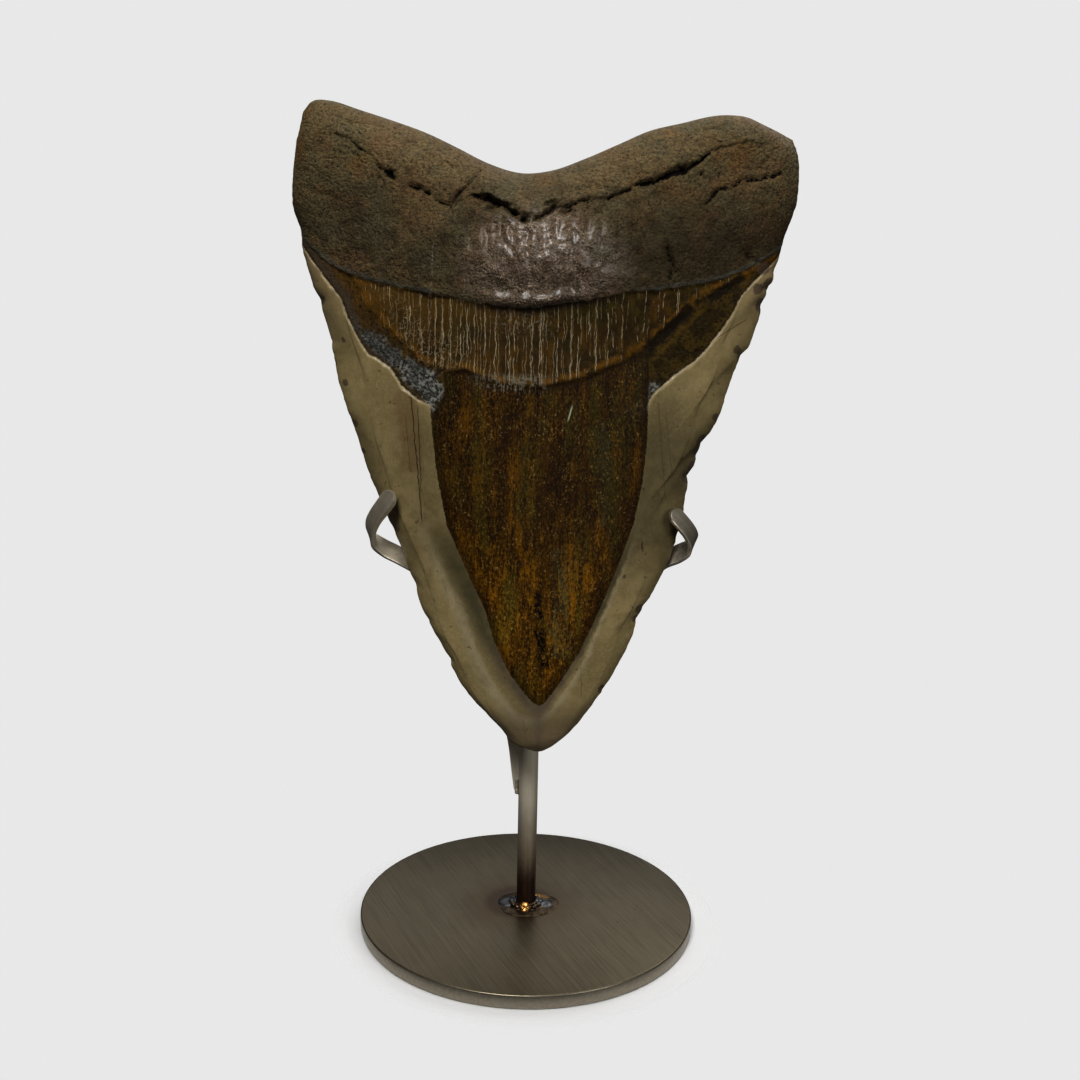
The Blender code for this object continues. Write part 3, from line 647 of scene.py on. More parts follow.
def root_paint(s, plan, x, z, root, shine, broad, medium, fine, grain, **unread):
    """Dark grey brown in smoother and coarser places, redder on the bulge with painted sheen, paler on top."""
    # Paler and a little lighter towards the top
    paler_top = z.rise(108, 124)
    coarse = s.noise(s.shift(plan, (80, 9, 0)), 0.3, 3, 0.6).rise(0.36, 0.62)
    paint = Paint(s, broad.rise(0.38, 0.62), (0.056, 0.044, 0.021), (0.088, 0.06, 0.026))
    paint.coat(medium.rise(0.44, 0.64) * 0.7, (0.03, 0.02, 0.008))
    paint.coat(paler_top * 0.6, (0.105, 0.077, 0.035))
    rusty = s.noise(s.shift(plan, (50, 20, 0)), 0.12, 3).rise(0.5, 0.64)
    paint.coat(rusty * paler_top * 0.6, (0.1, 0.052, 0.014))
    # The bulge is redder and also painted paler: painted sheen over its own colour
    paint.coat(shine * 0.8, (0.215, 0.16, 0.115))
    skin = s.noise(s.stretch(plan, (0.8, 1, 1)), 1.9, 4, 0.8)
    olive_root = s.noise(s.shift(plan, (15, 70, 0)), 0.16, 3, 0.6)
    paint.coat(olive_root.rise(0.5, 0.62) * 0.5, (0.06, 0.052, 0.026))
    paint.coat(olive_root.rise(0.48, 0.36) * 0.5, (0.088, 0.05, 0.022))
    paint.tint((0.76 + 1.25 * skin.rise(0.3, 0.72)) * (1 + paler_top * 0.14))
    dark_grain = (fine * 0.5 + grain * 0.5).rise(0.49, 0.37) * (0.5 + coarse * 0.4)
    paint.coat(dark_grain, (0.01, 0.006, 0.002))
    paint.coat(skin.rise(0.58, 0.7) * (0.12 + coarse * 0.36), (0.24, 0.195, 0.12))
    right_dark = x.rise(4, 30) * z.rise(120, 104) * 0.55
    paint.coat(right_dark, (0.028, 0.018, 0.006))
    grey_rim = root.rise(0, 0.35) * root.rise(1.3, 0.5) * (abs(x) - 14).rise(0, 10)
    paint.coat(grey_rim * 0.6, (0.1, 0.1, 0.08))
    return paint.colour


def layered(
    rough_colour, ochre_colour, core_colour, enamel_colour, root_colour,
    s, plan, x, z, enamel, core, ochre, root, crack_shade, stain, shine,
    medium, fine, grain, upright_fine, wander, jag, sparkle, **unread,
):
    """The regions over one another, the marks on their borders, then gloss and relief."""
    ragged_enamel = enamel + jag * 0.45
    is_enamel = ragged_enamel.rise(-0.08, 0.08)
    is_core = (core + jag).rise(-0.2, 0.2)
    is_ochre = (ochre + wander * 3.4 + jag).rise(-0.7, 0.9)
    is_root = (root + jag * 0.5).rise(-0.12, 0.12)
    paint = Paint(s, is_ochre, rough_colour, ochre_colour)
    golden = strongest(slanted(x, z, ends, width, wander * 2) for ends, width in GOLDEN)
    paint.coat(golden * 0.45, (0.12, 0.07, 0.005))
    chevron = strongest(slanted(x, z, ends, width, wander * 2) for ends, width in CHEVRON)
    paint.coat(chevron * 0.9, (0.01, 0.005, 0.001))
    paint.coat(is_core, core_colour)
    crust_place = stroke(x * 0.12 + 0.6, z, ((0, 76.4), (0, 80.6)), 1.15, 0.0)
    crust = crust_place * (upright_fine * 0.6 + fine * 0.4 + (z - 79.6) * 0.03).rise(0.46, 0.55)
    paint.coat(crust * 0.85, (0.2, 0.18, 0.13))
    # A pale line along the ledge's edge: painted highlight
    rim = (abs(ragged_enamel) - 0.12).rise(0.16, 0.0) * z.rise(72, 78) * (0.3 + fine)
    shade = ragged_enamel.rise(-0.9, -0.1) * z.rise(72, 78) * 0.7
    paint.coat(shade, (0.01, 0.006, 0.002))
    paint.coat(is_enamel, enamel_colour)
    paint.coat(rim.atmost(1), (0.34, 0.28, 0.17))
    paint.coat(is_root, root_colour)
    pale_lines = strongest(stroke(x, z, ends, 0.16, wander * 1.2) for ends in PALE_LINES)
    paint.coat(pale_lines * fine.rise(0.4, 0.6) * 0.6, (0.24, 0.22, 0.18))
    # Painted shadow under the root's overhanging lip, in the middle
    lip_shadow = root.rise(-2.2, -0.1) * root.rise(0.2, -0.2) * (abs(x - 0.5) - 17).rise(3, -7)
    paint.coat(lip_shadow * 0.85, (0.008, 0.003, 0.001))
    stained = (stain * (0.1 + fine * 1.8) + wander * 0.8).rise(0.32, 0.5)
    paint.coat(stained * 0.75, (0.085, 0.06, 0.045))
    # Painted shade darkens the fissure, cracks, holes and wrinkles; the broken face inside keeps its own brown
    crack_shade_share = (crack_shade + (fine - 0.5) * 1.1 + wander * 0.4).rise(0.4, 0.62) * crack_shade.rise(0.08, 0.35)
    broken_face = (fine * 0.6 + grain * 0.4 + (crack_shade - 0.6) * -0.2).rise(0.4, 0.58) * abs(x).rise(20, 10)
    crack_shade_and_face = s.blend(broken_face, (0.005, 0.003, 0.0015), (0.15, 0.105, 0.055))
    paint.coat(crack_shade_share, crack_shade_and_face)

    # The relief reads only the plain borders, which keeps it quick
    glossy = s.between(is_core, 0.55, 0.48) + (fine - 0.5) * 0.15
    glossy = s.between(is_enamel, glossy, 0.36 + medium * 0.12)
    glossy = s.between(is_root, glossy, 0.55 - shine * 0.34 - sparkle.rise(0.5, 0.62) * 0.1)
    glossy = glossy + crack_shade_share * 0.3
    blister = s.cells(s.stretch(plan, (1, 0.8, 1)), 3.2, "SMOOTH_F1") - 0.35
    uneven = fine - 0.5
    sparkling = uneven * 0.4 + (grain - 0.5) * 0.3 - blister * 0.36
    root_relief = s.between(shine, uneven * 0.55, sparkling) + (grain - 0.5) * 0.32
    crown_relief = uneven * 0.18 + (grain - 0.5) * 0.1 + (upright_fine - 0.5) * 0.12
    crown_relief = s.between(enamel.rise(-0.2, 0.1), crown_relief, uneven * 0.008)
    relief = s.between(root.rise(-0.15, 0.15), crown_relief, root_relief) - crack_shade * 0.35
    return s.finish(
        Base_Color=paint.colour,
        Roughness=glossy.atleast(0.12),
        Metallic=is_root * shine * 0.38,
        Coat_Weight=is_enamel * 0.15 + is_core * 0.01 + is_root * shine * 0.42,
        Normal=s.bump(relief),
        Coat_Roughness=0.32,
        Coat_IOR=1.7,
        Specular_IOR_Level=0.17,
    )


def fossil_surface():
    s = Surface("Fossil tooth")
    fields = tooth_fields(s)
    regions = (rough_paint, ochre_paint, core_paint, enamel_paint, root_paint)
    return layered(*(region(**fields) for region in regions), **fields)


def toned(colour, share):
    """A colour's three numbers made darker or lighter, never past 1."""
    return tuple(min(1.0, number * share) for number in colour)


def steel_surface(name, base, heat, brushing, rough_base, stripes, metallic):
    """Brushed mild steel: fine lines, cloudy tone, and heat colours where a piece was welded."""
    s = Surface(name)
    place = s.place()
    x, y, z = s.split(place)
    cloud = s.noise(place, 0.06, 4, 0.6)
    fine = s.noise(place, 1.5, 3, 0.6)
    along = s.noise(s.stretch(brushing(s, place), (0.06, 4.0, 4.0)), 1.0, 4, 0.7)
    scratches = s.noise(s.stretch(brushing(s, place), (0.02, 1.3, 1.3)), 1.0, 2, 0.6).rise(0.68, 0.74)
    paint = Paint(s, cloud.rise(0.3, 0.7), toned(base, 0.84), base)
    paint.coat(along.rise(0.4, 0.64) * stripes, toned(base, 1.5))
    paint.coat(along.rise(0.5, 0.3) * stripes, toned(base, 0.6))
    paint.coat(scratches * 0.35, toned(base, 1.7))
    dirt = (cloud * 0.5 + fine * 0.5).rise(0.6, 0.7)
    paint.coat(dirt * 0.35, toned(base, 0.5))
    ring, dark, bare = heat(s, x, y, z)
    paint.coat(ring, HEAT_BROWN)
    paint.coat(dark, HEAT_DARK)
    paint.coat(bare * (0.4 + fine), (0.42, 0.38, 0.31))
    return s.finish(
        Base_Color=paint.colour,
        Metallic=metallic,
        Roughness=rough_base + cloud * 0.1 + along * 0.1 - dark * 0.1,
        Normal=s.bump(along * 0.02 + scratches * -0.01 + fine * 0.004),
    )


# ---------------------------------------------------------------- the tooth's shape


def linear(points, at):
    keys, values = np.array(points, float).T
    return np.interp(at, keys, values)


def soft(points, at):
    """A smooth curve through the points (cubic pieces with averaged slopes), read at a first value."""
    keys, values = np.array(points, float).T
    slopes = np.diff(values) / np.diff(keys)
    ends = np.concatenate([slopes[:1], (slopes[:-1] + slopes[1:]) / 2, slopes[-1:]])
    at = np.clip(at, keys[0], keys[-1])
    piece = np.clip(np.searchsorted(keys, at, side="right") - 1, 0, len(keys) - 2)
    width = keys[piece + 1] - keys[piece]
    t = (at - keys[piece]) / width
    first, last = values[piece], values[piece + 1]
    start, end = ends[piece] * width, ends[piece + 1] * width
    return (
        first * (2 * t**3 - 3 * t**2 + 1)
        + start * (t**3 - 2 * t**2 + t)
        + last * (3 * t**2 - 2 * t**3)
        + end * (t**3 - t**2)
    )


def step(low, high, value):
    t = np.clip((value - low) / (high - low), 0, 1)
    return t * t * (3 - 2 * t)


def rough_field(x, z, size, seed, octaves=1):
    """Smooth random values from about -1 to 1 that change over one size, with finer ones on top."""
    total = np.zeros_like(x)
    strength = 1.0
    for octave in range(octaves):
        table = np.random.default_rng(seed + octave).uniform(-1, 1, (512, 512))
        u, v = x / size + 200, z / size + 40
        i, j = np.floor(u).astype(int), np.floor(v).astype(int)
        a, b = u - i, v - j
        a, b = a * a * (3 - 2 * a), b * b * (3 - 2 * b)
        i, j, i2, j2 = i % 512, j % 512, (i + 1) % 512, (j + 1) % 512
        low = table[i, j] * (1 - a) + table[i2, j] * a
        high = table[i, j2] * (1 - a) + table[i2, j2] * a
        total += strength * (low * (1 - b) + high * b)
        size, strength = size / 2.1, strength * 0.5
    return total


def distance_to(path, x, z):
    best = np.full(np.shape(x), np.inf)
    for (ax, az), (bx, bz) in zip(path, path[1:]):
        squared = (bx - ax) ** 2 + (bz - az) ** 2
        along = np.clip(((x - ax) * (bx - ax) + (z - az) * (bz - az)) / squared, 0, 1)
        best = np.minimum(best, np.hypot(x - ax - along * (bx - ax), z - az - along * (bz - az)))
    return best


def inside(outline, x, z):
    within = np.zeros(x.shape, bool)
    for (ax, az), (bx, bz) in zip(outline, outline[1:] + outline[:1]):
        if az == bz:
            continue
        crosses = (az > z) != (bz > z)
        within ^= crosses & (x < ax + (z - az) * (bx - ax) / (bz - az))
    return within


def depth_inside(outline, x, z):
    """Distance to a closed outline, positive inside it."""
    away = distance_to(outline + outline[:1], x, z)
    return np.where(inside(outline, x, z), away, -away)


def fine_levels():
    """Row positions, closer together round the fissure, the root border and the top edge."""
    levels = []
    for piece, count in enumerate(FINE_ROWS):
        even = np.arange(count) / count
        if piece == TOP_PIECE:
            even = np.sin(even * math.pi / 2) ** 0.9
        levels.append(piece + even)
    return np.append(np.concatenate(levels), TOP_PIECE + 1.0)


def row_at(row, shares):
    ends = np.array(row, float)
    x = ends[0, 0] + shares * (ends[-1, 0] - ends[0, 0])
    jagged = row is LEDGE_ROW
    return x, (linear if jagged else soft)(row, x)


def lay_out():
    """x, height and level of every point, rows from tip to top and columns from left to right."""
    even = np.linspace(0, 1, FINE_COLUMNS + 1)
    shares = even + EDGE_CROWDING * (0.5 - 0.5 * np.cos(math.pi * even) - even)
    levels = fine_levels()
    below = np.minimum(levels.astype(int), TOP_PIECE)
    part = (levels - below)[:, None]
    rows = np.array([row_at(row, shares) for row in ROWS])
    x = (1 - part) * rows[below, 0] + part * rows[below + 1, 0]
    z = (1 - part) * rows[below, 1] + part * rows[below + 1, 1]
    left = soft(LEFT_EDGE, z[:, 0]) - x[:, 0]
    right = soft(RIGHT_EDGE, z[:, -1]) - x[:, -1]
    x = x + left[:, None] * (1 - shares) + right[:, None] * shares
    # Chips and fine raggedness of both edges
    for side, chips, share in ((1, LEFT_CHIPS, shares), (-1, RIGHT_CHIPS, 1 - shares)):
        pull = np.zeros_like(z)
        for height, deep, half in chips:
            pull += deep * np.exp(-(((z - height) / half) ** 2))
        pull += EDGE_RAGGEDNESS * rough_field(z * side, z * 0, 1.7, 31, 3)
        x = x + side * pull * step(CHIP_REACH, 0, share) * step(0.3, 4, z)
    return np.broadcast_to(shares, x.shape), np.broadcast_to(levels[:, None], x.shape), x, z


def side_profile(offset, power, rounding):
    return np.power(np.clip(1 - np.power(offset, power), 0, 1), rounding)


class Relief:
    """How far a surface sinks, and how dark the painted shade in its cracks is, at every point."""

    def __init__(self, x):
        self.sunk = np.zeros_like(x)
        self.crack_shade = np.zeros_like(x)

    def cut(self, depth, darkness, away):
        """A groove or hole with soft sides and painted shade along it; away is 0 in its middle and 1 where it
        thins out.
        """
        shape = np.exp(-(away**2))
        self.sunk += depth * shape
        self.crack_shade = np.maximum(self.crack_shade, darkness * shape)


def root_lumps(x, z, root, bulge):
    """The root's raised relief: lumps, the ridge over its border, and pebbles on the bulge."""
    lumps = np.zeros_like(x)
    for lump_x, lump_z, spread, rise in LUMPS:
        lumps += rise * np.exp(-((x - lump_x) ** 2 + (z - lump_z) ** 2) / spread**2)
    lumps += 0.35 * rough_field(x, z, 6, 3, 2) + 0.2 * rough_field(x, z, 1.6, 5, 3)
    ridge = np.exp(-(((root - 1.3) / 0.9) ** 2)) - 0.6 * np.exp(-(((root - 4.0) / 1.6) ** 2))
    lumps += 0.75 * ridge * np.exp(-(((x - 1) / 10) ** 2))
    pebbles = 0.2 * rough_field(x, z, 1.3, 7, 2) * step(0.2, 0.9, bulge)
    return lumps + pebbles


def root_grooves(x, z, wobble, drift):
    """The root's fissure with its splinters, then its cracks, holes and wrinkles."""
    relief = Relief(x)
    away = np.abs(z - soft(FISSURE_ROW, x) + drift) / np.hypot(1, 0.6)
    away = np.clip(away + 0.22 * rough_field(x, z, 0.9, 133, 2), 0, None)
    deep = linear(FISSURE_DEPTH, x) * np.clip(1 + 0.6 * rough_field(x, z, 2.2, 29, 2), 0.25, 1.4)
    width = 0.2 + 0.15 * deep
    splinters = step(0.16, 0.02, np.abs(rough_field(x, z * 1.5, 2.4, 131, 3))) * np.clip(deep, 0, 1)
    relief.cut(0.3 * splinters, 0.5 * splinters, away / 2.2)
    relief.cut(deep, 0, away / width)
    relief.cut(0, np.clip(deep / 1.1, 0, 1), away / (width * 0.85))
    for path, half_width, low in CRACKS:
        away = distance_to(path, x, z + 0.8 * drift) + 0.2 * rough_field(x, z, 0.9, 135, 2)
        relief.cut(low, min(1.0, low / 0.9), np.clip(away, 0, None) / (half_width * (1 + 0.4 * wobble)))
    for hole_x, hole_z, radius, low in PITS:
        away = np.hypot(x - hole_x + 0.6 * wobble, z - hole_z + 0.5 * drift)
        relief.cut(low, min(0.9, 0.8 * low), away / (0.8 * radius))
    for top_x, low_x, top, bottom, half_width, low in WRINKLES:
        bent = 0.35 * rough_field(x * 0, z, 2.5, int(40 + top_x), 2)
        relief.cut(low, 0.45 * low, distance_to(((top_x, top), (low_x, bottom)), x + bent, z) / half_width)
    rng = np.random.default_rng(5)
    small_holes = [rng.uniform(low, high, SMALL_HOLES) for low, high in ((-48, 50), (96, 131), (0.2, 0.55))]
    for hole_x, hole_z, radius in zip(*small_holes):
        away = np.hypot(x - hole_x + 0.5 * wobble, (z - hole_z) * 1.3 + 0.4 * drift)
        relief.cut(radius * 0.6, 0.42, away / radius)
    return relief


def back_side(x, z, offset, profile, rooty, wobble, drift):
    """Gently domed blade, rounded root, and a shallow step where the enamel ends."""
    root = z - soft(BACK_ROOT_ROW, x) + 0.5 * rough_field(x, z, 2.5, 81, 3)
    crown = soft(CROWN_BACK, z) * side_profile(offset, 2, CROWN_ROUNDING)
    is_root = step(-0.4, 0.4, root)
    lumps = 0.30 * rough_field(x, z, 6, 91, 2) + 0.15 * rough_field(x, z, 1.6, 95, 3)
    relief = Relief(x)
    for path, half_width, low in BACK_CRACKS:
        away = distance_to(path, x + 0.8 * drift, z + drift)
        relief.cut(low, min(1.0, 1.6 * low), away / (half_width * (1 + 0.4 * wobble)))
    back = crown + rooty * (ROOT_BACK * profile - crown)
    back += ((lumps - BACK_LEDGE) * is_root - relief.sunk) * profile
    return back, root, relief.crack_shade


def shape_tooth():
    """Front and back depths and the fields that the surface reads."""
    shares, level, x, z = lay_out()
    own_offset = np.abs(2 * shares - 1)
    left, right = (np.polyval(np.polyfit(*np.array(edge).T, 6), z) for edge in (LEFT_EDGE, RIGHT_EDGE))
    even_offset = np.abs(2 * (x - left) / (right - left) - 1)
    own_share = np.maximum(step(0.55, 1, own_offset), step(16, 8, z))
    offset = np.clip(even_offset + (own_offset - even_offset) * own_share, 0, 1)
    profile = side_profile(offset, ROOT_SQUARENESS, 0.5)
    over_top = np.sqrt(np.clip(1 - np.clip(level - TOP_PIECE, 0, 1) ** 2, 0, 1))
    rooty = step(*ROOT_BLEND, z)

    # Borders on the front
    enamel = -depth_inside(ENAMEL_BORDER + ABOVE, x, z)
    core = depth_inside(CORE_BORDER, x, z)
    ochre_height = z - linear(OCHRE_LINE, x)
    ochre = np.sign(ochre_height) * distance_to(OCHRE_LINE, x, z)
    wobble = rough_field(x, z, 1.4, 11, 2)
    root = z - soft(ROOT_ROW, x) + 0.25 * wobble
    grey = depth_inside(GREY_PATCH, x, z)

    # Smooth body
    crown = soft(CROWN_FRONT, z) * side_profile(offset, 2, CROWN_ROUNDING)
    across = (x - BULGE_CENTRE[0]) / BULGE_SPREAD[0]
    up = (z - BULGE_CENTRE[1]) / BULGE_SPREAD[1]
    bulge = np.exp(-(across**2) - up**2)
    body = (ROOT_FRONT + BULGE_HEIGHT * bulge) * profile
    front = crown + rooty * (body - crown)

    # Steps: root lip, enamel ledge, polished core
    is_root = step(-0.22, 0.22, root)
    lip = LIP_SIDES + LIP_MIDDLE * np.exp(-((x / LIP_SPREAD) ** 2))
    front += lip * profile * is_root
    ragged = enamel + 0.25 * rough_field(x, z, 1.1, 17, 2)
    ledge_part = step(72.5, 76.5, z) * (1 - is_root)
    front -= LEDGE_RECESS * profile * step(0.25, -0.25, ragged) * ledge_part * step(14, 22, np.abs(x))
    front -= CORE_RECESS * profile * step(0.3, -0.3, ragged) * (1 - ledge_part) * (1 - is_root)
    front += 0.06 * np.exp(-(((ragged - 0.2) / 0.3) ** 2)) * ledge_part * profile
    ochre_step = step(-0.4, 0.5, ochre + 0.3 * wobble)
    front += 0.3 * profile * ochre_step * (1 - is_root) * step(70, 74, z)

    # Relief of the root
    drift = 0.45 * rough_field(x, z, 2.3, 23, 3) + 0.2 * rough_field(x, z, 0.8, 27, 2)
    grooves = root_grooves(x, z, wobble, drift)
    front += (root_lumps(x, z, root, bulge) - grooves.sunk) * profile * is_root

    # Fine relief of the other regions
    enamel_share = step(-0.2, 0.2, ragged) * (1 - is_root)
    rough_share = (1 - is_root) * (1 - enamel_share) * step(-0.4, 0.2, -core) * step(72, 76, z)
    front += 0.09 * rough_field(x, z, 0.9, 61, 2) * rough_share * (1 - ochre_step) * profile
    front += 0.06 * rough_field(x, z * 0.15, 0.8, 67, 2) * rough_share * ochre_step * profile
    front += 0.03 * rough_field(x, z, 9, 71, 2) * enamel_share * profile
    front = np.clip(front, 0, None) * over_top

    back, back_root, back_crack_shade = back_side(x, z, offset, profile, rooty, wobble, drift)
    back = np.clip(back, 0, None) * over_top

    stain = np.zeros_like(x)
    for spot_x, spot_z, radius in STAINS:
        stain = np.maximum(stain, np.exp(-(((x - spot_x) ** 2 + (z - spot_z) ** 2) / radius**2)))
    shine = step(0.33, 0.85, bulge) * is_root
    nowhere = np.full_like(x, -9.0)
    fields = {
        "enamel": (enamel, -back_root),
        "core": (core, nowhere),
        "ochre": (ochre, nowhere),
        "root": (root, back_root),
        "crack_shade": (grooves.crack_shade * is_root, back_crack_shade),
        "stain": (stain, stain * 0.8),
        "grey": (grey, nowhere),
        "shine": (shine, shine * 0),
    }
    return x, z, front, back, fields


def tooth_to_world(x, depth, z):
    sine, cosine = math.sin(LEAN_BACK), math.cos(LEAN_BACK)
    y = TIP_DEPTH + depth * cosine + z * sine
    return np.stack([x, y, TIP_HEIGHT + z * cosine - depth * sine], axis=-1) * MM


def tooth_mesh():
    """Fine front sheet and coarser back sheet that share every point of the outline."""
    x, z, front, back, fields = shape_tooth()
    rows, columns = x.shape
    rim = np.zeros(x.shape, bool)
    rim[[0, -1], :] = True
    rim[:, [0, -1]] = True
    front = np.where(rim, 0, front)
    kept = np.zeros(x.shape, bool)
    kept[::BACK_STEP, ::BACK_STEP] = True
    kept &= ~rim
    front_index = np.arange(rows * columns).reshape(rows, columns)
    back_index = front_index.copy()
    back_index[kept] = rows * columns + np.arange(kept.sum())
    points = np.concatenate(
        [tooth_to_world(x, -front, z).reshape(-1, 3), tooth_to_world(x[kept], back[kept], z[kept])]
    )
    faces = [
        (front_index[r, c], front_index[r, c + 1], front_index[r + 1, c + 1], front_index[r + 1, c])
        for r in range(rows - 1)
        for c in range(columns - 1)
    ]
    for r in range(0, rows - 1, BACK_STEP):
        for c in range(0, columns - 1, BACK_STEP):
            top, side = r + BACK_STEP, c + BACK_STEP
            walk = [(r, k) for k in range(c, side)] + [(k, side) for k in range(r, top)]
            walk += [(top, k) for k in range(side, c, -1)] + [(k, c) for k in range(top, r, -1)]
            corners = [back_index[p] for p in walk if kept[p] or rim[p]]
            faces.append(tuple(reversed(corners)))
    mesh = bpy.data.meshes.new("tooth")
    mesh.from_pydata(points.tolist(), [], [[int(i) for i in face] for face in faces])
    for name, (on_front, on_back) in fields.items():
        values = np.concatenate([on_front.reshape(-1), on_back[kept]]).astype(np.float32)
        mesh.attributes.new(name, "FLOAT", "POINT").data.foreach_set("value", values)
    across = np.concatenate([x.reshape(-1), x[kept] + BACK_PATTERN_SHIFT])
    height = np.concatenate([z.reshape(-1), z[kept]])
    depth = np.concatenate([-front.reshape(-1), back[kept]])
    plan = np.stack([across, height, depth * DEPTH_STRETCH], axis=-1).astype(np.float32)
    mesh.attributes.new("plan", "FLOAT_VECTOR", "POINT").data.foreach_set("vector", plan.reshape(-1))
    mesh.shade_smooth()
    mesh.set_sharp_from_angle(angle=math.radians(75))
    return mesh


# ---------------------------------------------------------------- the stand's shapes


def closed_mesh(name, made, sharp=40):
    bmesh.ops.recalc_face_normals(made, faces=made.faces)
    mesh = bpy.data.meshes.new(name)
    made.to_mesh(mesh)
    made.free()
    mesh.shade_smooth()
    mesh.set_sharp_from_angle(angle=math.radians(sharp))
    return mesh


def turned_mesh(name, profile, sides, centre=0.0):
    """The section (radius, height) turned about an upright line."""
    made = bmesh.new()
    rings = []
    for radius, height in profile:
        ring = []
        for i in range(sides if radius else 1):
            angle = 2 * math.pi * i / sides
            x, y = centre + radius * math.cos(angle), radius * math.sin(angle)
            ring.append(made.verts.new((x * MM, y * MM, height * MM)))
        rings.append(ring)
    for low, high in zip(rings, rings[1:]):
        for i in range(sides):
            j = (i + 1) % sides
            corners = (low[i % len(low)], low[j % len(low)], high[j % len(high)], high[i % len(high)])
            made.faces.new(list(dict.fromkeys(corners)))
    return closed_mesh(name, made)


def rounded(radius, low, high, break_at, steps=4):
    """A bar's or disc's section with both rims rounded over."""
    points = [(0.0, low)]
    for i in range(steps + 1):
        turn = math.pi / 2 * i / steps
        out, up = break_at * math.sin(turn), break_at * math.cos(turn)
        points.append((radius - break_at + out, low + break_at - up))
    for i in range(steps + 1):
        turn = math.pi / 2 * i / steps
        out, up = break_at * math.cos(turn), break_at * math.sin(turn)
        points.append((radius - break_at + out, high - break_at + up))
    return [*points, (0.0, high)]


def curve_point(points, at):
    """A smooth curve (Catmull-Rom) through the points; whole numbers are the points themselves."""
    first = min(int(at), len(points) - 2)
    part = at - first
    before, start = points[max(first - 1, 0)], points[first]
    end, after = points[first + 1], points[min(first + 2, len(points) - 1)]
    return 0.5 * (
        2 * start
        + (end - before) * part
        + (2 * before - 5 * start + 4 * end - after) * part**2
        + (3 * start - before - 3 * end + after) * part**3
    )


def strip_section(half):
    """Half of the strip's section, (across, through): a flat bar with rounded corners."""
    thick, corner = STRIP_THICKNESS / 2, min(0.24, half)
    points = [(share * (half - corner), thick) for share in (-1, -0.66, -0.33, 0, 0.33, 0.66, 1)]
    for turn in (30, 60):
        angle = math.radians(turn)
        points.append((half - corner + corner * math.sin(angle), thick - corner + corner * math.cos(angle)))
    points.append((half, thick - corner))
    return points + [(-across, -through) for across, through in points]


def strip_mesh(name, path, seed):
    """The flat bar swept along its path, with a rounded far end."""
    middles = [Vector(middle) for middle, _ in path]
    widths = [Vector(width).normalized() for _, width in path]
    last = len(path) - 1
    samples = 400
    line = [curve_point(middles, last * i / samples) for i in range(samples + 1)]
    lengths = np.concatenate([[0], np.cumsum([(b - a).length for a, b in zip(line, line[1:])])])
    radius, whole = STRIP_WIDTH / 2, lengths[-1]
    body = np.linspace(0, whole - radius, 150)
    nose = whole - radius + radius * np.sin(np.radians((12, 24, 36, 48, 58, 67, 75, 82, 87)))
    rng = np.random.default_rng(seed)
    dents = np.interp(np.arange(200), np.arange(0, 200, 5), rng.uniform(-1, 1, 40))
    made = bmesh.new()
    across_layer = made.verts.layers.float.new("across")
    along_layer = made.verts.layers.float.new("along")
    rings = []
    for index, distance in enumerate((*body, *nose)):
        at = last * float(np.interp(distance, lengths, np.linspace(0, 1, samples + 1)))
        middle = curve_point(middles, at)
        ahead, behind = curve_point(middles, min(at + 0.02, last)), curve_point(middles, max(at - 0.02, 0))
        forward = (ahead - behind).normalized()
        width = curve_point(widths, at)
        width = (width - forward * width.dot(forward)).normalized()
        through = forward.cross(width)
        past = max(0.0, distance - (whole - radius))
        half = math.sqrt(max(0.0, radius**2 - past**2)) + 0.04 * dents[index % 200]
        half *= float(step(-2.0, 2.4, distance))
        ring = []
        for aside, thick in strip_section(max(half, 0.05)):
            corner = made.verts.new((middle + width * aside + through * thick) * MM)
            corner[across_layer] = abs(aside) / radius
            corner[along_layer] = distance
            ring.append(corner)
        rings.append(ring)
    for low, high in zip(rings, rings[1:]):
        for i in range(len(low)):
            j = (i + 1) % len(low)
            made.faces.new((low[i], low[j], high[j], high[i]))
    made.faces.new(rings[0])
    made.faces.new(rings[-1])
    return closed_mesh(name, made, 50)


def ripple_tree():
    """Flattened drops of weld metal laid one over the next along the edges of a mesh."""
    tree = bpy.data.node_groups.new("Weld ripples", "GeometryNodeTree")
    sockets = tree.interface
    sockets.new_socket("Geometry", in_out="OUTPUT", socket_type="NodeSocketGeometry")
    sockets.new_socket("Geometry", in_out="INPUT", socket_type="NodeSocketGeometry")
    kinds = {"Drops": "Int", "Width": "Float", "Height": "Float", "Seed": "Int", "Metal": "Material"}
    for name, kind in kinds.items():
        sockets.new_socket(name, in_out="INPUT", socket_type=f"NodeSocket{kind}")
    given = tree.nodes.new("NodeGroupInput")
    path, drops, width, height, seed, metal = (Value(tree, given.outputs[i]) for i in range(6))
    curve = node(tree, "GeometryNodeMeshToCurve", None, {0: path})
    points = tree.nodes.new("GeometryNodeCurveToPoints")
    points.mode = "COUNT"
    put(tree, points.inputs["Curve"], curve)
    put(tree, points.inputs["Count"], drops)
    drop = node(tree, "GeometryNodeMeshIcoSphere", None, {"Radius": 1.0, "Subdivisions": 4})
    vary = node(tree, "FunctionNodeRandomValue", {"data_type": "FLOAT"}, {2: 0.85, 3: 1.15, "Seed": seed}, 1)
    size = node(tree, "ShaderNodeCombineXYZ", None, {0: width * vary, 1: width * vary, 2: height * vary})
    laid = node(
        tree,
        "GeometryNodeInstanceOnPoints",
        None,
        {"Points": Value(tree, points.outputs["Points"]), "Instance": drop, "Scale": size},
    )
    real = node(tree, "GeometryNodeRealizeInstances", None, {0: laid})
    smooth = node(tree, "GeometryNodeSetShadeSmooth", None, {0: real})
    dressed = node(tree, "GeometryNodeSetMaterial", None, {"Geometry": smooth, "Material": metal})
    put(tree, tree.nodes.new("NodeGroupOutput").inputs[0], dressed)
    return tree


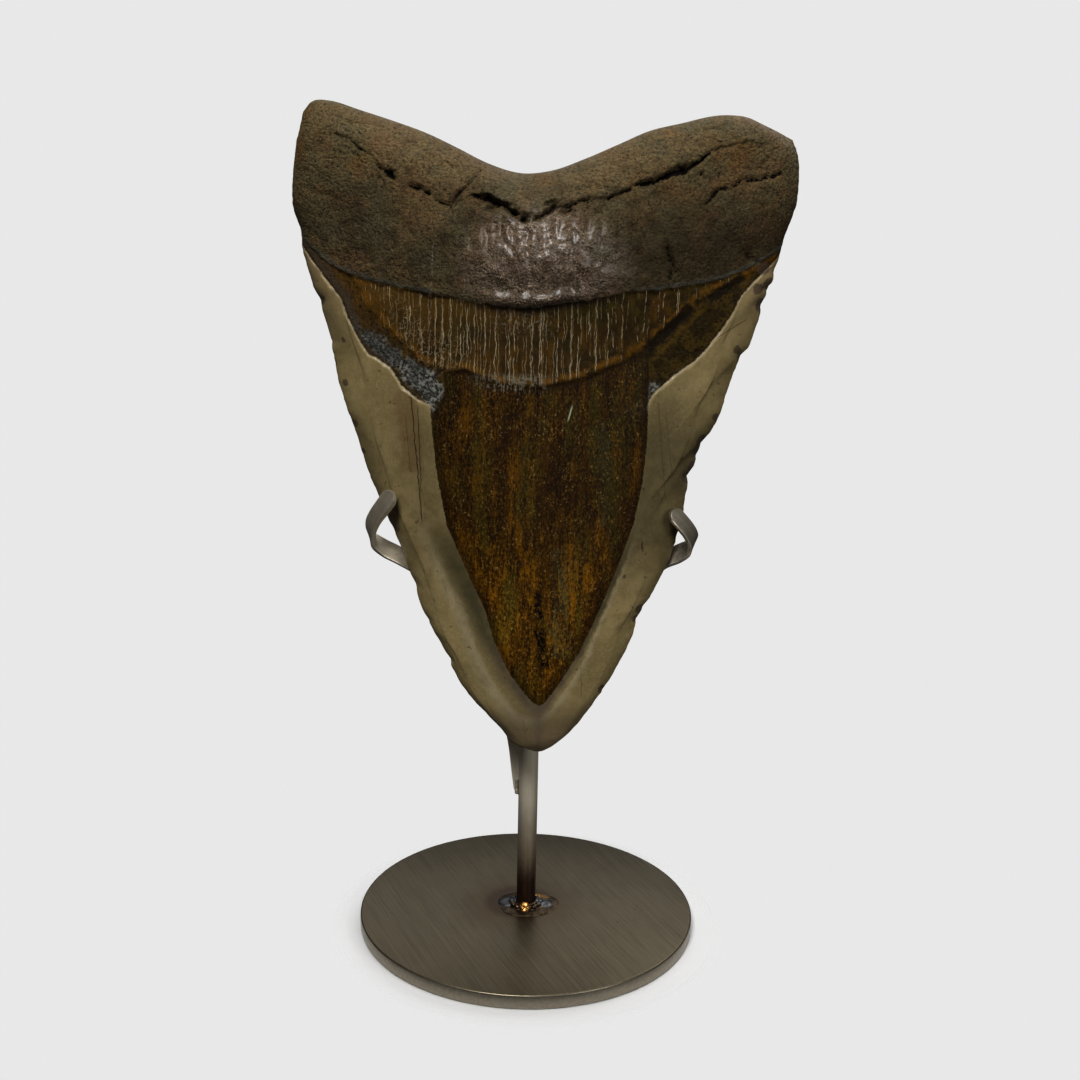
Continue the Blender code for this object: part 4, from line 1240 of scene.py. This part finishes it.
def ripples(tree, name, line, closed, metal, numbers):
    """The ripple tree run along a line of points, kept as a plain mesh."""
    mesh = bpy.data.meshes.new(name)
    edges = [(i, i + 1) for i in range(len(line) - 1)]
    if closed:
        edges.append((len(line) - 1, 0))
    mesh.from_pydata([Vector(point) * MM for point in line], edges, [])
    guide = finished(name, mesh)
    laid = guide.modifiers.new("Weld ripples", "NODES")
    laid.node_group = tree
    for socket in tree.interface.items_tree:
        if socket.in_out == "INPUT" and socket.name in numbers:
            laid[socket.identifier] = numbers[socket.name]
        elif socket.in_out == "INPUT" and socket.name == "Metal":
            laid[socket.identifier] = metal
    bpy.context.view_layer.update()
    graph = bpy.context.evaluated_depsgraph_get()
    done = bpy.data.meshes.new_from_object(guide.evaluated_get(graph))
    guide.modifiers.clear()
    bpy.data.objects.remove(guide)
    bpy.data.meshes.remove(mesh)
    return done


def joined(name, meshes):
    made = bmesh.new()
    for mesh in meshes:
        made.from_mesh(mesh)
    whole = bpy.data.meshes.new(name)
    made.to_mesh(whole)
    made.free()
    for mesh in meshes:
        bpy.data.meshes.remove(mesh)
    return whole


def puddle_mesh():
    """The flattened weld round the foot of the post, with two round puddles beside it."""
    top = DISC_THICKNESS
    sides, steps = 128, 30
    made = bmesh.new()
    angles = np.linspace(0, 2 * math.pi, sides, endpoint=False)
    reach = 7.0 + 0.35 * np.cos(angles) + 0.3 * np.sin(3 * angles + 1) + 0.2 * np.sin(5 * angles)
    reach = reach * np.hypot(np.cos(angles), 0.84 * np.sin(angles))
    rings = []
    for share in np.linspace(0, 1, steps + 1):
        inner = POST_RADIUS + GAP
        out = inner + (reach - inner) * share
        x, y = POST_X + out * np.cos(angles), out * np.sin(angles)
        height = np.full_like(x, np.interp(share, *PUDDLE_PROFILE))
        for spot_x, spot_y, radius, rise in PUDDLES:
            away = np.hypot(x - spot_x, y - spot_y) / radius
            dome = np.clip(1 - away**2, 0, 1) ** 0.5
            height = height + rise * (dome - 0.35 * np.exp(-((away / 0.35) ** 2)))
        height = height + 0.05 * rough_field(x, y, 1.1, 51, 3) * (share < 1)
        height = np.maximum(height, 0.025)
        rings.append([made.verts.new((a * MM, b * MM, (top + h) * MM)) for a, b, h in zip(x, y, height)])
    for ring in (rings[-1], rings[0]):
        rings.append([made.verts.new((corner.co.x, corner.co.y, (top + 0.02) * MM)) for corner in ring])
    order = [*rings, rings[0]]
    for low, high in zip(order, order[1:]):
        for i in range(sides):
            j = (i + 1) % sides
            made.faces.new((low[i], low[j], high[j], high[i]))
    return closed_mesh("foot_weld", made, 60)


def ring_line(radius, height, count=48):
    turns = [2 * math.pi * i / count for i in range(count)]
    return [(POST_X + radius * math.cos(turn), radius * math.sin(turn), height) for turn in turns]


# ---------------------------------------------------------------- the pieces


def show(name, stands_for, mesh, surface):
    """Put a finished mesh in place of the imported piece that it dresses."""
    piece = finished(name, mesh)
    mesh.materials.clear()
    mesh.materials.append(surface)
    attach(piece, "root")
    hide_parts(stands_for)


def disc_heat(s, x, y, z):
    """Shares of the brown ring, the dark middle and the bare side."""
    away = ((x + 1.5) ** 2 + (y - 1.0) ** 2 * 1.1) ** 0.5
    cloud = s.noise(s.place(), 0.12, 3, 0.6) * 8
    ring = (away + cloud).rise(24, 9) * 0.5
    return ring, away.rise(9.5, 6.6) * 0.55, z.rise(3.12, 2.9) * 0.7


def post_heat(s, x, y, z):
    """Shares of the brown and the dark heat colours above the weld; no bare steel."""
    drift = s.noise(s.place(), 0.5, 3) * 3
    low = (z + drift).rise(19, 10.5)
    return (z + drift).rise(36, 15) * 0.8, low * 0.95, 0.0


def diagonal(s, place):
    """The plate's brushing runs slantwise over it."""
    x, y, z = s.split(place)
    return s.join(x * BRUSH_ACROSS - y * BRUSH_ALONG, x * BRUSH_ALONG + y * BRUSH_ACROSS, z)


def upright(s, place):
    """The post's brushing runs up and down."""
    x, y, z = s.split(place)
    return s.join(z, x * 1.4, y * 1.4)


def strip_surface(name, tone):
    """The flat bars: ground faces with bright worn edges, and painted light low down near the post."""
    s = Surface(name)
    across, along = s.field("across"), s.field("along")
    place = s.place()
    cloud = s.noise(place, 0.18, 4, 0.6)
    fine = s.noise(place, 1.8, 3, 0.6)
    lines = s.noise(s.join(along * 0.05, across * 6, cloud), 1.0, 3, 0.7)
    paint = Paint(s, cloud.rise(0.3, 0.7), (0.42, 0.37, 0.28), (0.55, 0.49, 0.38))
    paint.coat(lines.rise(0.4, 0.7) * 0.4, (0.7, 0.64, 0.52))
    paint.coat((fine * 0.6 + cloud * 0.4).rise(0.55, 0.68) * 0.6, (0.2, 0.17, 0.12))
    paint.tint(tone)
    worn = (across + (cloud - 0.5) * 0.3).rise(0.8, 0.97)
    paint.coat(worn * 0.8, (0.8, 0.74, 0.62))
    _, _, z = s.split(place)
    # Painted light: paler and less metallic low down near the post
    painted_light_near_post = z.rise(66, 48)
    paint.coat(painted_light_near_post * 0.8, (0.8, 0.74, 0.61))
    return s.finish(
        Base_Color=paint.colour,
        Metallic=0.65 - painted_light_near_post * 0.5,
        Roughness=0.36 + cloud * 0.14 + lines * 0.1 - worn * 0.1,
        Normal=s.bump(lines * 0.02 + fine * 0.012 + cloud * 0.1),
    )


def weld_surface():
    """Weld metal: brown scale, blue-grey puddles and gold spots at the foot, pale beads on the strips."""
    s = Surface("Weld metal")
    place = s.place()
    x, y, z = s.split(place)
    cloud = s.noise(place, 0.5, 3, 0.6)
    fine = s.noise(place, 2.4, 3, 0.6)
    at_strips, at_foot = z.rise(20, 24), z.rise(20, 19)
    mottled = cloud.rise(0.35, 0.65)
    paint = Paint(s, mottled, (0.05, 0.032, 0.02), (0.12, 0.085, 0.05))
    paint.coat(at_strips, s.blend(mottled, (0.38, 0.34, 0.27), (0.6, 0.54, 0.44)))
    for spot_x, spot_y, radius, _ in PUDDLES[:2]:
        away = ((x - spot_x) ** 2 + (y - spot_y) ** 2) ** 0.5 + cloud * 0.8
        paint.coat(away.rise(radius + 0.7, radius + 0.3) * at_foot, (0.1, 0.1, 0.105))
    gold = ((x - 3.4) ** 2 + (y - 3.2) ** 2) ** 0.5
    bead = ((x + 0.3) ** 2 + (y + 2.95) ** 2) ** 0.5
    paint.coat(gold.rise(2.6, 1.2) * (0.4 + fine * 0.5) * at_foot, (0.62, 0.36, 0.12))
    paint.coat(bead.rise(1.3, 0.9) * at_foot, (0.4, 0.22, 0.07))
    return s.finish(
        Base_Color=paint.colour,
        Metallic=0.9 - at_strips * 0.7,
        Roughness=0.22 + cloud * 0.2,
        Normal=s.bump(fine * 0.008 + cloud * 0.06),
    )


disc_steel = steel_surface("Base plate steel", STEEL, disc_heat, diagonal, 0.24, 0.4, 0.9)
post_steel = steel_surface("Post steel", OILED_STEEL, post_heat, upright, 0.3, 0.3, 0.52)
left_steel = strip_surface("Left strip steel", 0.95)
# The right strip is the same steel painted darker: painted shade
shaded_right_steel = strip_surface("Right strip steel", 0.52)
weld_metal = weld_surface()

show("fossil_tooth", "tooth", tooth_mesh(), fossil_surface())
disc_profile = rounded(DISC_RADIUS, 0.0, DISC_THICKNESS, DISC_RIM)
disc_mesh = turned_mesh("round_base", disc_profile, DISC_SIDES)
show("round_base", "base_disc", disc_mesh, disc_steel)
post_profile = rounded(POST_RADIUS, DISC_THICKNESS + GAP, POST_TOP, POST_RIM)
post_mesh = turned_mesh("round_post", post_profile, POST_SIDES, POST_X)
show("round_post", "post", post_mesh, post_steel)
show("left_strap", "left_arm", strip_mesh("left_strap", LEFT_PATH, 3), left_steel)
show("right_strap", "right_arm", strip_mesh("right_strap", RIGHT_PATH, 4), shaded_right_steel)

ripple = ripple_tree()
collar_drops = {"Drops": 14, "Width": 0.9 * MM, "Height": 0.5 * MM, "Seed": 3}
collar = ripples(ripple, "collar", ring_line(COLLAR_RADIUS, COLLAR_HEIGHT), True, weld_metal, collar_drops)
show("foot_puddle", "foot_weld", joined("foot_puddle", [puddle_mesh(), collar]), weld_metal)
for name, stands_for, side, height, seed in BEADS:
    aside = POST_X + side * BEAD_ASIDE
    line = [(aside, BEAD_BACK, height + end * BEAD_HALF_LENGTH) for end in (-1, 1)]
    drops = {"Drops": BEAD_DROPS, "Width": 0.4 * MM, "Height": 0.45 * MM, "Seed": seed}
    show(name, stands_for, ripples(ripple, name, line, False, weld_metal, drops), weld_metal)

# ---------------------------------------------------------------- floor, light and camera

CONTRAST = 1.25
BACKDROP = 0.807 ** (1 / CONTRAST)
TARGET = Vector((0.0, 0.0, 0.09))
# Area lights: name, place, size, power in watts
LIGHTS = (
    ("key", (-0.14, -0.5, 0.62), (0.24, 0.18), 4.6),
    ("overhead", (0.0, 0.1, 0.8), (0.6, 0.5), 2.6),
    ("fill", (0.5, -0.5, 0.3), (0.3, 0.3), 1.6),
    ("back", (-0.05, 0.62, 0.42), (0.7, 0.35), 0.55),
    ("behind", (0.4, 0.45, 0.6), (0.4, 0.3), 1.1),
)
CAMERA_PLACE = (1.39, -271.15, 147.25)
CAMERA_TILT, CAMERA_ROLL = 11.973, 1.227
CAMERA_LENS = 42.33


def floor_piece():
    """A pale floor that thins out into the even backdrop, so that no seam shows."""
    half = 0.4
    corners = [(-half, -half, -0.0001), (half, -half, -0.0001), (half, half, -0.0001), (-half, half, -0.0001)]
    mesh = bpy.data.meshes.new("floor")
    mesh.from_pydata(corners, [], [(0, 1, 2, 3)])
    s = Surface("Pale floor")
    x, y, _ = s.split(s.place())
    away = (x**2 + y**2) ** 0.5
    grain = s.noise(s.place(), 0.02, 2)
    clear = s.node("ShaderNodeBsdfTransparent")
    s.finish(Base_Color=s.blend(grain, (0.685, 0.685, 0.685), (0.695, 0.695, 0.695)), Roughness=0.9)
    mixed = s.tree.nodes.new("ShaderNodeMixShader")
    put(s.tree, mixed.inputs[0], away.rise(38.2, 47))
    s.tree.links.new(s.shader.outputs[0], mixed.inputs[1])
    s.tree.links.new(clear.socket, mixed.inputs[2])
    s.tree.links.new(mixed.outputs[0], s.tree.nodes["Material Output"].inputs["Surface"])
    mesh.materials.append(s.material)
    piece = finished("floor", mesh)


def studio_world():
    """Even pale backdrop for the eye, a dim room that is brighter overhead for the light."""
    world = bpy.data.worlds.new("Studio")
    world.use_nodes = True
    tree = world.node_tree
    shader = tree.nodes["Background"]
    shader.inputs["Color"].default_value = (1, 1, 1, 1)
    direction = node(tree, "ShaderNodeTexCoord", None, None, "Generated")
    height = node(tree, "ShaderNodeSeparateXYZ", None, {0: direction}, 2)
    room = height.rise(-0.2, 0.9) * 0.14 + 0.03
    seen = node(tree, "ShaderNodeLightPath", None, None, "Is Camera Ray")
    put(tree, shader.inputs["Strength"], room + (BACKDROP - room) * seen)
    bpy.context.scene.world = world


def soft_light(name, place, size, power):
    """An area light in metres that looks at the object's middle."""
    light = bpy.data.lights.new(name, "AREA")
    light.shape = "RECTANGLE"
    light.size, light.size_y = size
    light.energy = power
    made = bpy.data.objects.new(name, light)
    made.location = place
    made.rotation_euler = (TARGET - Vector(place)).to_track_quat("-Z", "Y").to_euler()
    bpy.context.scene.collection.objects.link(made)


def studio_camera():
    """Eye above the object, looking down at it and leaning a little to one side."""
    tilt, roll = math.radians(CAMERA_TILT), math.radians(CAMERA_ROLL)
    forward = Vector((0, math.cos(tilt), -math.sin(tilt)))
    side = Vector((1, 0, 0))
    up = side.cross(forward)
    right = side * math.cos(roll) + up * math.sin(roll)
    head = up * math.cos(roll) - side * math.sin(roll)
    camera = bpy.data.objects.new("camera", bpy.data.cameras.new("camera"))
    camera.data.sensor_width = 36
    camera.data.lens = CAMERA_LENS
    camera.data.clip_start = 0.01
    eye = Vector(CAMERA_PLACE) * MM
    camera.matrix_world = Matrix(
        (
            (right.x, head.x, -forward.x, eye.x),
            (right.y, head.y, -forward.y, eye.y),
            (right.z, head.z, -forward.z, eye.z),
            (0, 0, 0, 1),
        )
    )
    bpy.context.scene.collection.objects.link(camera)
    bpy.context.scene.camera = camera


floor_piece()
studio_world()
for light in LIGHTS:
    soft_light(*light)
studio_camera()
bpy.context.scene.view_settings.view_transform = "Standard"
bpy.context.scene.view_settings.gamma = 1 / CONTRAST
